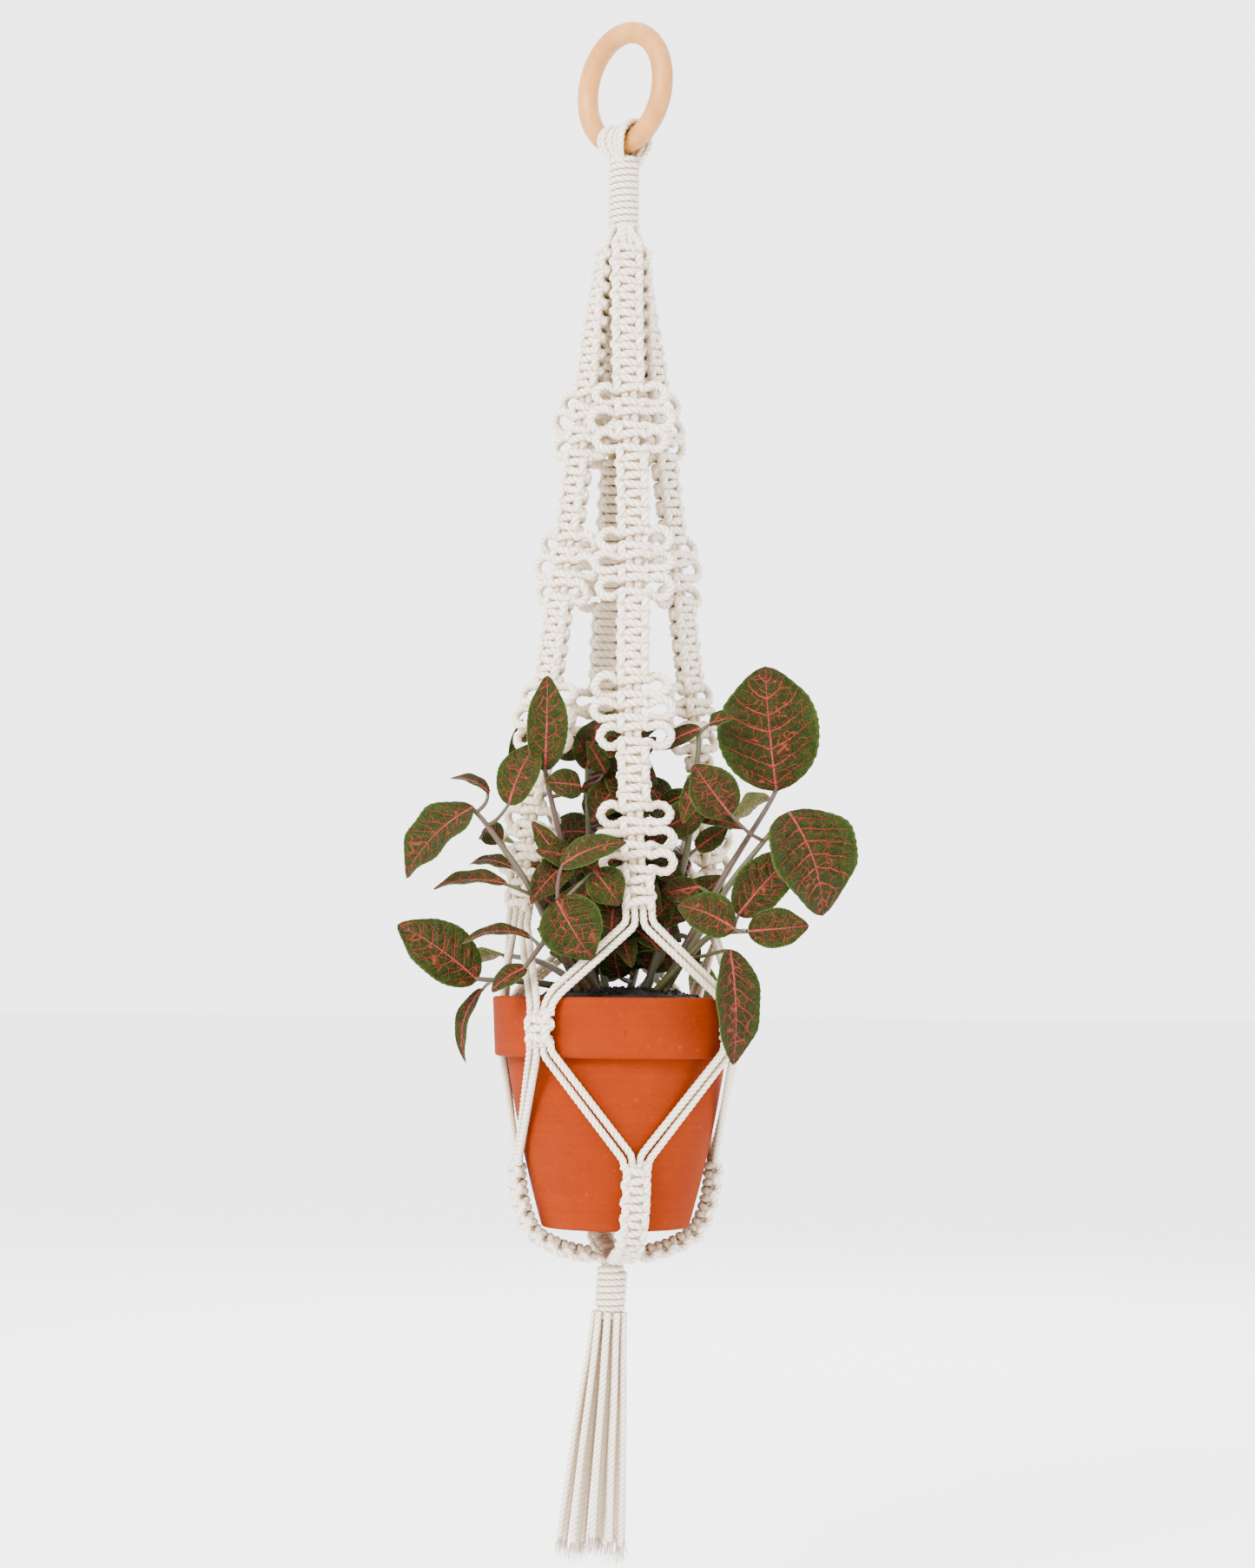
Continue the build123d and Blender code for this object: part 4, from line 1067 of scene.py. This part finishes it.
def stalk_line(base, tip, mains):
    """A leaf's own stalk, from the nearest main stem below it."""
    end = plant_point(*base)
    towards = unit(plant_point(*tip) - end)
    places = np.vstack([line[4:-2] for line in mains])
    too_high = np.clip(places[:, 2] - end[2] + BELOW_LEAF, 0, None)
    start = places[(np.linalg.norm(places - end, axis=1) + 3.0 * too_high).argmin()]
    sag = np.array((0, 0, STALK_SAG * np.linalg.norm(end - start)))
    middle = (start + end) / 2 - sag - towards * STEM_TUCK
    return soften([start, middle, end, end + towards * STEM_TUCK], 3.0, STEM_STEP)

def inside_net(point):
    """Whether a place in the plant's frame keeps clear of the arms and the net cords."""
    across, out, up = point
    if up < LOWEST_LEAF:
        return False
    if up < ARM_END_UP:
        return math.hypot(across, out) < NET_CLEAR_R
    arm_r = ARM_END[0] - (up - ARM_END_UP) * (ARM_END[0] - ARM_TOP[0]) / (ARM_TOP[1] - ARM_END[1])
    for angle, twist in zip(ARM_ANGLES, ARM_TURNS):
        picots_in = PICOT_REACH * abs(math.sin(math.radians(twist))) + ARM_CLEAR
        picots_aside = PICOT_REACH * math.cos(math.radians(twist)) + ARM_CLEAR
        turn = math.radians(PLANT_TURN - angle)
        towards = across * math.cos(turn) + out * math.sin(turn)
        aside = abs(out * math.cos(turn) - across * math.sin(turn))
        if towards > arm_r - picots_in and aside < picots_aside + TURN_ROOM * towards:
            return False
    return True

def inner_rows():
    """Leaves inside the net of arms, which hide the bare stems. None comes near the cords."""
    rows = []
    for number in range(INNER_TRIES):
        turn = math.radians(number * LEAF_TURN + random.uniform(-10, 10))
        out = np.array((math.cos(turn), math.sin(turn), 0.0))
        up = random.uniform(*LOW_LEAVES) if number % 5 < 2 else random.uniform(*HIGH_LEAVES)
        reach = INNER_REACH * math.sqrt(random.uniform(0.04, 1.0))
        length = random.uniform(*INNER_LENGTH) * (1.0 - 0.2 * up / 150)
        direction = unit(np.array((out[0], out[1] * 0.7, random.uniform(-0.9, 0.9))))
        tip = np.array((out[0] * reach, out[1] * reach, up))
        base = tip - direction * length
        width = length * random.uniform(*INNER_WIDTH)
        face = (out[0] * 0.5, 1.0, random.uniform(0.0, 0.6))
        aside = unit(np.cross(face, direction)) * width / 2
        middle = (tip + base) / 2
        if all(inside_net(place) for place in (tip, base, middle, middle + aside, middle - aside)):
            rows.append((tuple(base), tuple(tip), width, face))
        if len(rows) == INNER_LEAVES:
            break
    return rows

def stem_piece(name, lines, radius, root, taper, sides, reddest):
    """Stems that start at root times the radius and lose taper times the radius on their way."""
    tints = [random.uniform(0.3, reddest) for _ in lines]
    made = tubes(name, lines, lambda share: radius * (root - taper * share), "planted_pot",
                 material=STEM, sides=sides, plies=0, tints=tints)
    return made

def plant():
    """The leaves round the outside, the ones inside the net, and the stems of both."""
    mains, stalks, groups = [], [], {}
    for group, rows in LEAVES.items():
        groups[group] = []
        for number, (base, tip, width, face, passing) in enumerate(rows):
            groups[group].append((base, tip, width, face, random.uniform(0.0, 0.8)))
            if number in MAIN_STEMS[group]:
                mains.append(stem_line(base, tip, passing))
    for group, rows in LEAVES.items():
        stalks += [stalk_line(row[0], row[1], mains) for number, row in enumerate(rows)
                   if number not in MAIN_STEMS[group]]
        leaves(f"{group}_blades", groups[group], group)
    inner = []
    for row in inner_rows():
        inner.append((*row, random.uniform(0.1, 0.9)))
        stalks.append(stalk_line(row[0], row[1], mains))
    leaves("inner_leaves", inner, grid=INNER_GRID)
    stems = stem_piece("main_stems", mains, MAIN_STEM_R, 1.1, 0.5, 10, 0.9)
    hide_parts("stems")
    stem_piece("leaf_stalks", stalks, STALK_R, 1.15, 0.3, 8, 1.0)

# ---- Soil and pot ---------------------------------------------------------------------------
SOIL_EDGE_R = 57.0
SOIL_EDGE_Z = RIM_TOP_Z - 4.8
SOIL_TOP_Z = RIM_TOP_Z + 3.6
SOIL_DEPTH = 12.0
MOUND_R = 26.0
SOIL_RINGS = 34
SOIL_SPOKES = 120
LUMP = 0.75
CRUMBS = 900
CRUMB_R = (0.45, 1.5)
BIG_CRUMB = 1.7                   # times as large, and how many there are
BIG_CRUMB_SHARE = 0.06
CRUMB_POINTS = ((1, 0, 0), (-1, 0, 0), (0, 1, 0), (0, -1, 0), (0, 0, 1), (0, 0, -1))
CRUMB_FACES = ((0, 2, 4), (2, 1, 4), (1, 3, 4), (3, 0, 4), (2, 0, 5), (1, 2, 5), (3, 1, 5), (0, 3, 5))

def mound_z(radius):
    share = max(0.0, (radius - MOUND_R) / (SOIL_EDGE_R - MOUND_R))
    return SOIL_TOP_Z + (SOIL_EDGE_Z - SOIL_TOP_Z) * share

def soil():
    """A lumpy mound, with crumbs of peat and bark lying on it."""
    points, faces = [], []
    spokes = SOIL_SPOKES
    bumps = random.normal(size=(SOIL_RINGS + 1, spokes))
    for _ in range(2):
        bumps = (bumps + np.roll(bumps, 1, 1) + np.roll(bumps, -1, 1)) / 3 * 1.5
        bumps[1:-1] = (bumps[2:] + bumps[:-2] + bumps[1:-1]) / 3 * 1.4
    for ring in range(SOIL_RINGS + 1):
        radius = SOIL_EDGE_R * ring / SOIL_RINGS
        for spoke in range(spokes):
            rough = 0.0 if ring in (0, SOIL_RINGS) else LUMP * bumps[ring, spoke]
            points.append(polar(radius, spoke * 360 / spokes, mound_z(radius) + rough))
    for ring in range(1, SOIL_RINGS):
        for spoke in range(spokes):
            beside = (spoke + 1) % spokes
            faces.append([ring * spokes + spoke, (ring + 1) * spokes + spoke,
                          (ring + 1) * spokes + beside, ring * spokes + beside])
    faces.append(list(range(spokes, 2 * spokes)))
    # The bottom closes the piece, well inside the pot.
    bottom = len(points)
    for spoke in range(spokes):
        points.append(polar(SOIL_EDGE_R - 3.0, spoke * 360 / spokes, SOIL_EDGE_Z - SOIL_DEPTH))
    edge = SOIL_RINGS * spokes
    for spoke in range(spokes):
        beside = (spoke + 1) % spokes
        faces.append([edge + spoke, bottom + spoke, bottom + beside, edge + beside])
    faces.append(list(range(bottom + spokes - 1, bottom - 1, -1)))
    for _ in range(CRUMBS):
        radius = SOIL_EDGE_R * 0.965 * math.sqrt(random.uniform(0, 1))
        middle = polar(radius, random.uniform(0, 360), mound_z(radius) + random.uniform(0.0, 0.9))
        size = random.uniform(*CRUMB_R) * (BIG_CRUMB if random.uniform() < BIG_CRUMB_SHARE else 1.0)
        corner = len(points)
        stretch = random.uniform(0.55, 1.3, 3)
        for point in CRUMB_POINTS:
            jitter = random.uniform(-0.25, 0.25, 3)
            points.append(middle + (np.array(point) + jitter) * stretch * size)
        faces += [[corner + a, corner + b, corner + c] for a, b, c in CRUMB_FACES]
    piece = new_object("soil_surface", points, faces, SOIL, "planted_pot")
    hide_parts("soil")

def paint_cad(name, material):
    node = bpy.data.objects[name]
    node.data.materials.clear()
    node.data.materials.append(material)

# ---- Studio ---------------------------------------------------------------------------------
FLOOR_DROP = 0.06                 # metres below the tassel
FLOOR_HALF = 30.0
SKY_STRENGTH = 3.9

def soft_light(name, place, aim, size, power, colour=(1.0, 1.0, 1.0)):
    data = bpy.data.lights.new(name, "AREA")
    data.shape = "DISK"
    data.size = size
    data.energy = power
    data.color = colour
    lamp = bpy.data.objects.new(name, data)
    bpy.context.scene.collection.objects.link(lamp)
    lamp.location = place
    lamp.rotation_euler = (Vector(aim) - Vector(place)).to_track_quat("-Z", "Y").to_euler()

def studio():
    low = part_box("tassel_strand_13")[0].z - FLOOR_DROP
    half = FLOOR_HALF
    mesh = bpy.data.meshes.new("floor")
    mesh.from_pydata([(-half, -half, low), (half, -half, low), (half, half, low), (-half, half, low)],
                     [], [(0, 1, 2, 3)])
    mesh.materials.append(plain_material("pale_floor", (0.90, 0.90, 0.89), 0.9))
    floor = bpy.data.objects.new("floor", mesh)
    bpy.context.scene.collection.objects.link(floor)
    world = bpy.data.worlds.new("studio")
    world.use_nodes = True
    world.node_tree.nodes["Background"].inputs["Color"].default_value = (1.0, 1.0, 1.0, 1.0)
    world.node_tree.nodes["Background"].inputs["Strength"].default_value = SKY_STRENGTH
    bpy.context.scene.world = world
    soft_light("key", (-1.5, -1.7, 0.7), (0, 0, -0.35), 0.9, 150.0, (1.0, 0.98, 0.94))
    soft_light("fill", (1.8, -1.5, -0.1), (0, 0, -0.4), 1.8, 16.0, (1.0, 0.97, 0.94))
    soft_light("back", (0.7, 1.8, 0.8), (0, 0, -0.35), 1.2, 60.0)

tassel()
hanging_loop()
arms()
net()
cradle()
bottom_wrap()
plant()
soil()
paint_cad("wooden_ring", wood_material())
paint_cad("pot", terracotta_material())
studio()
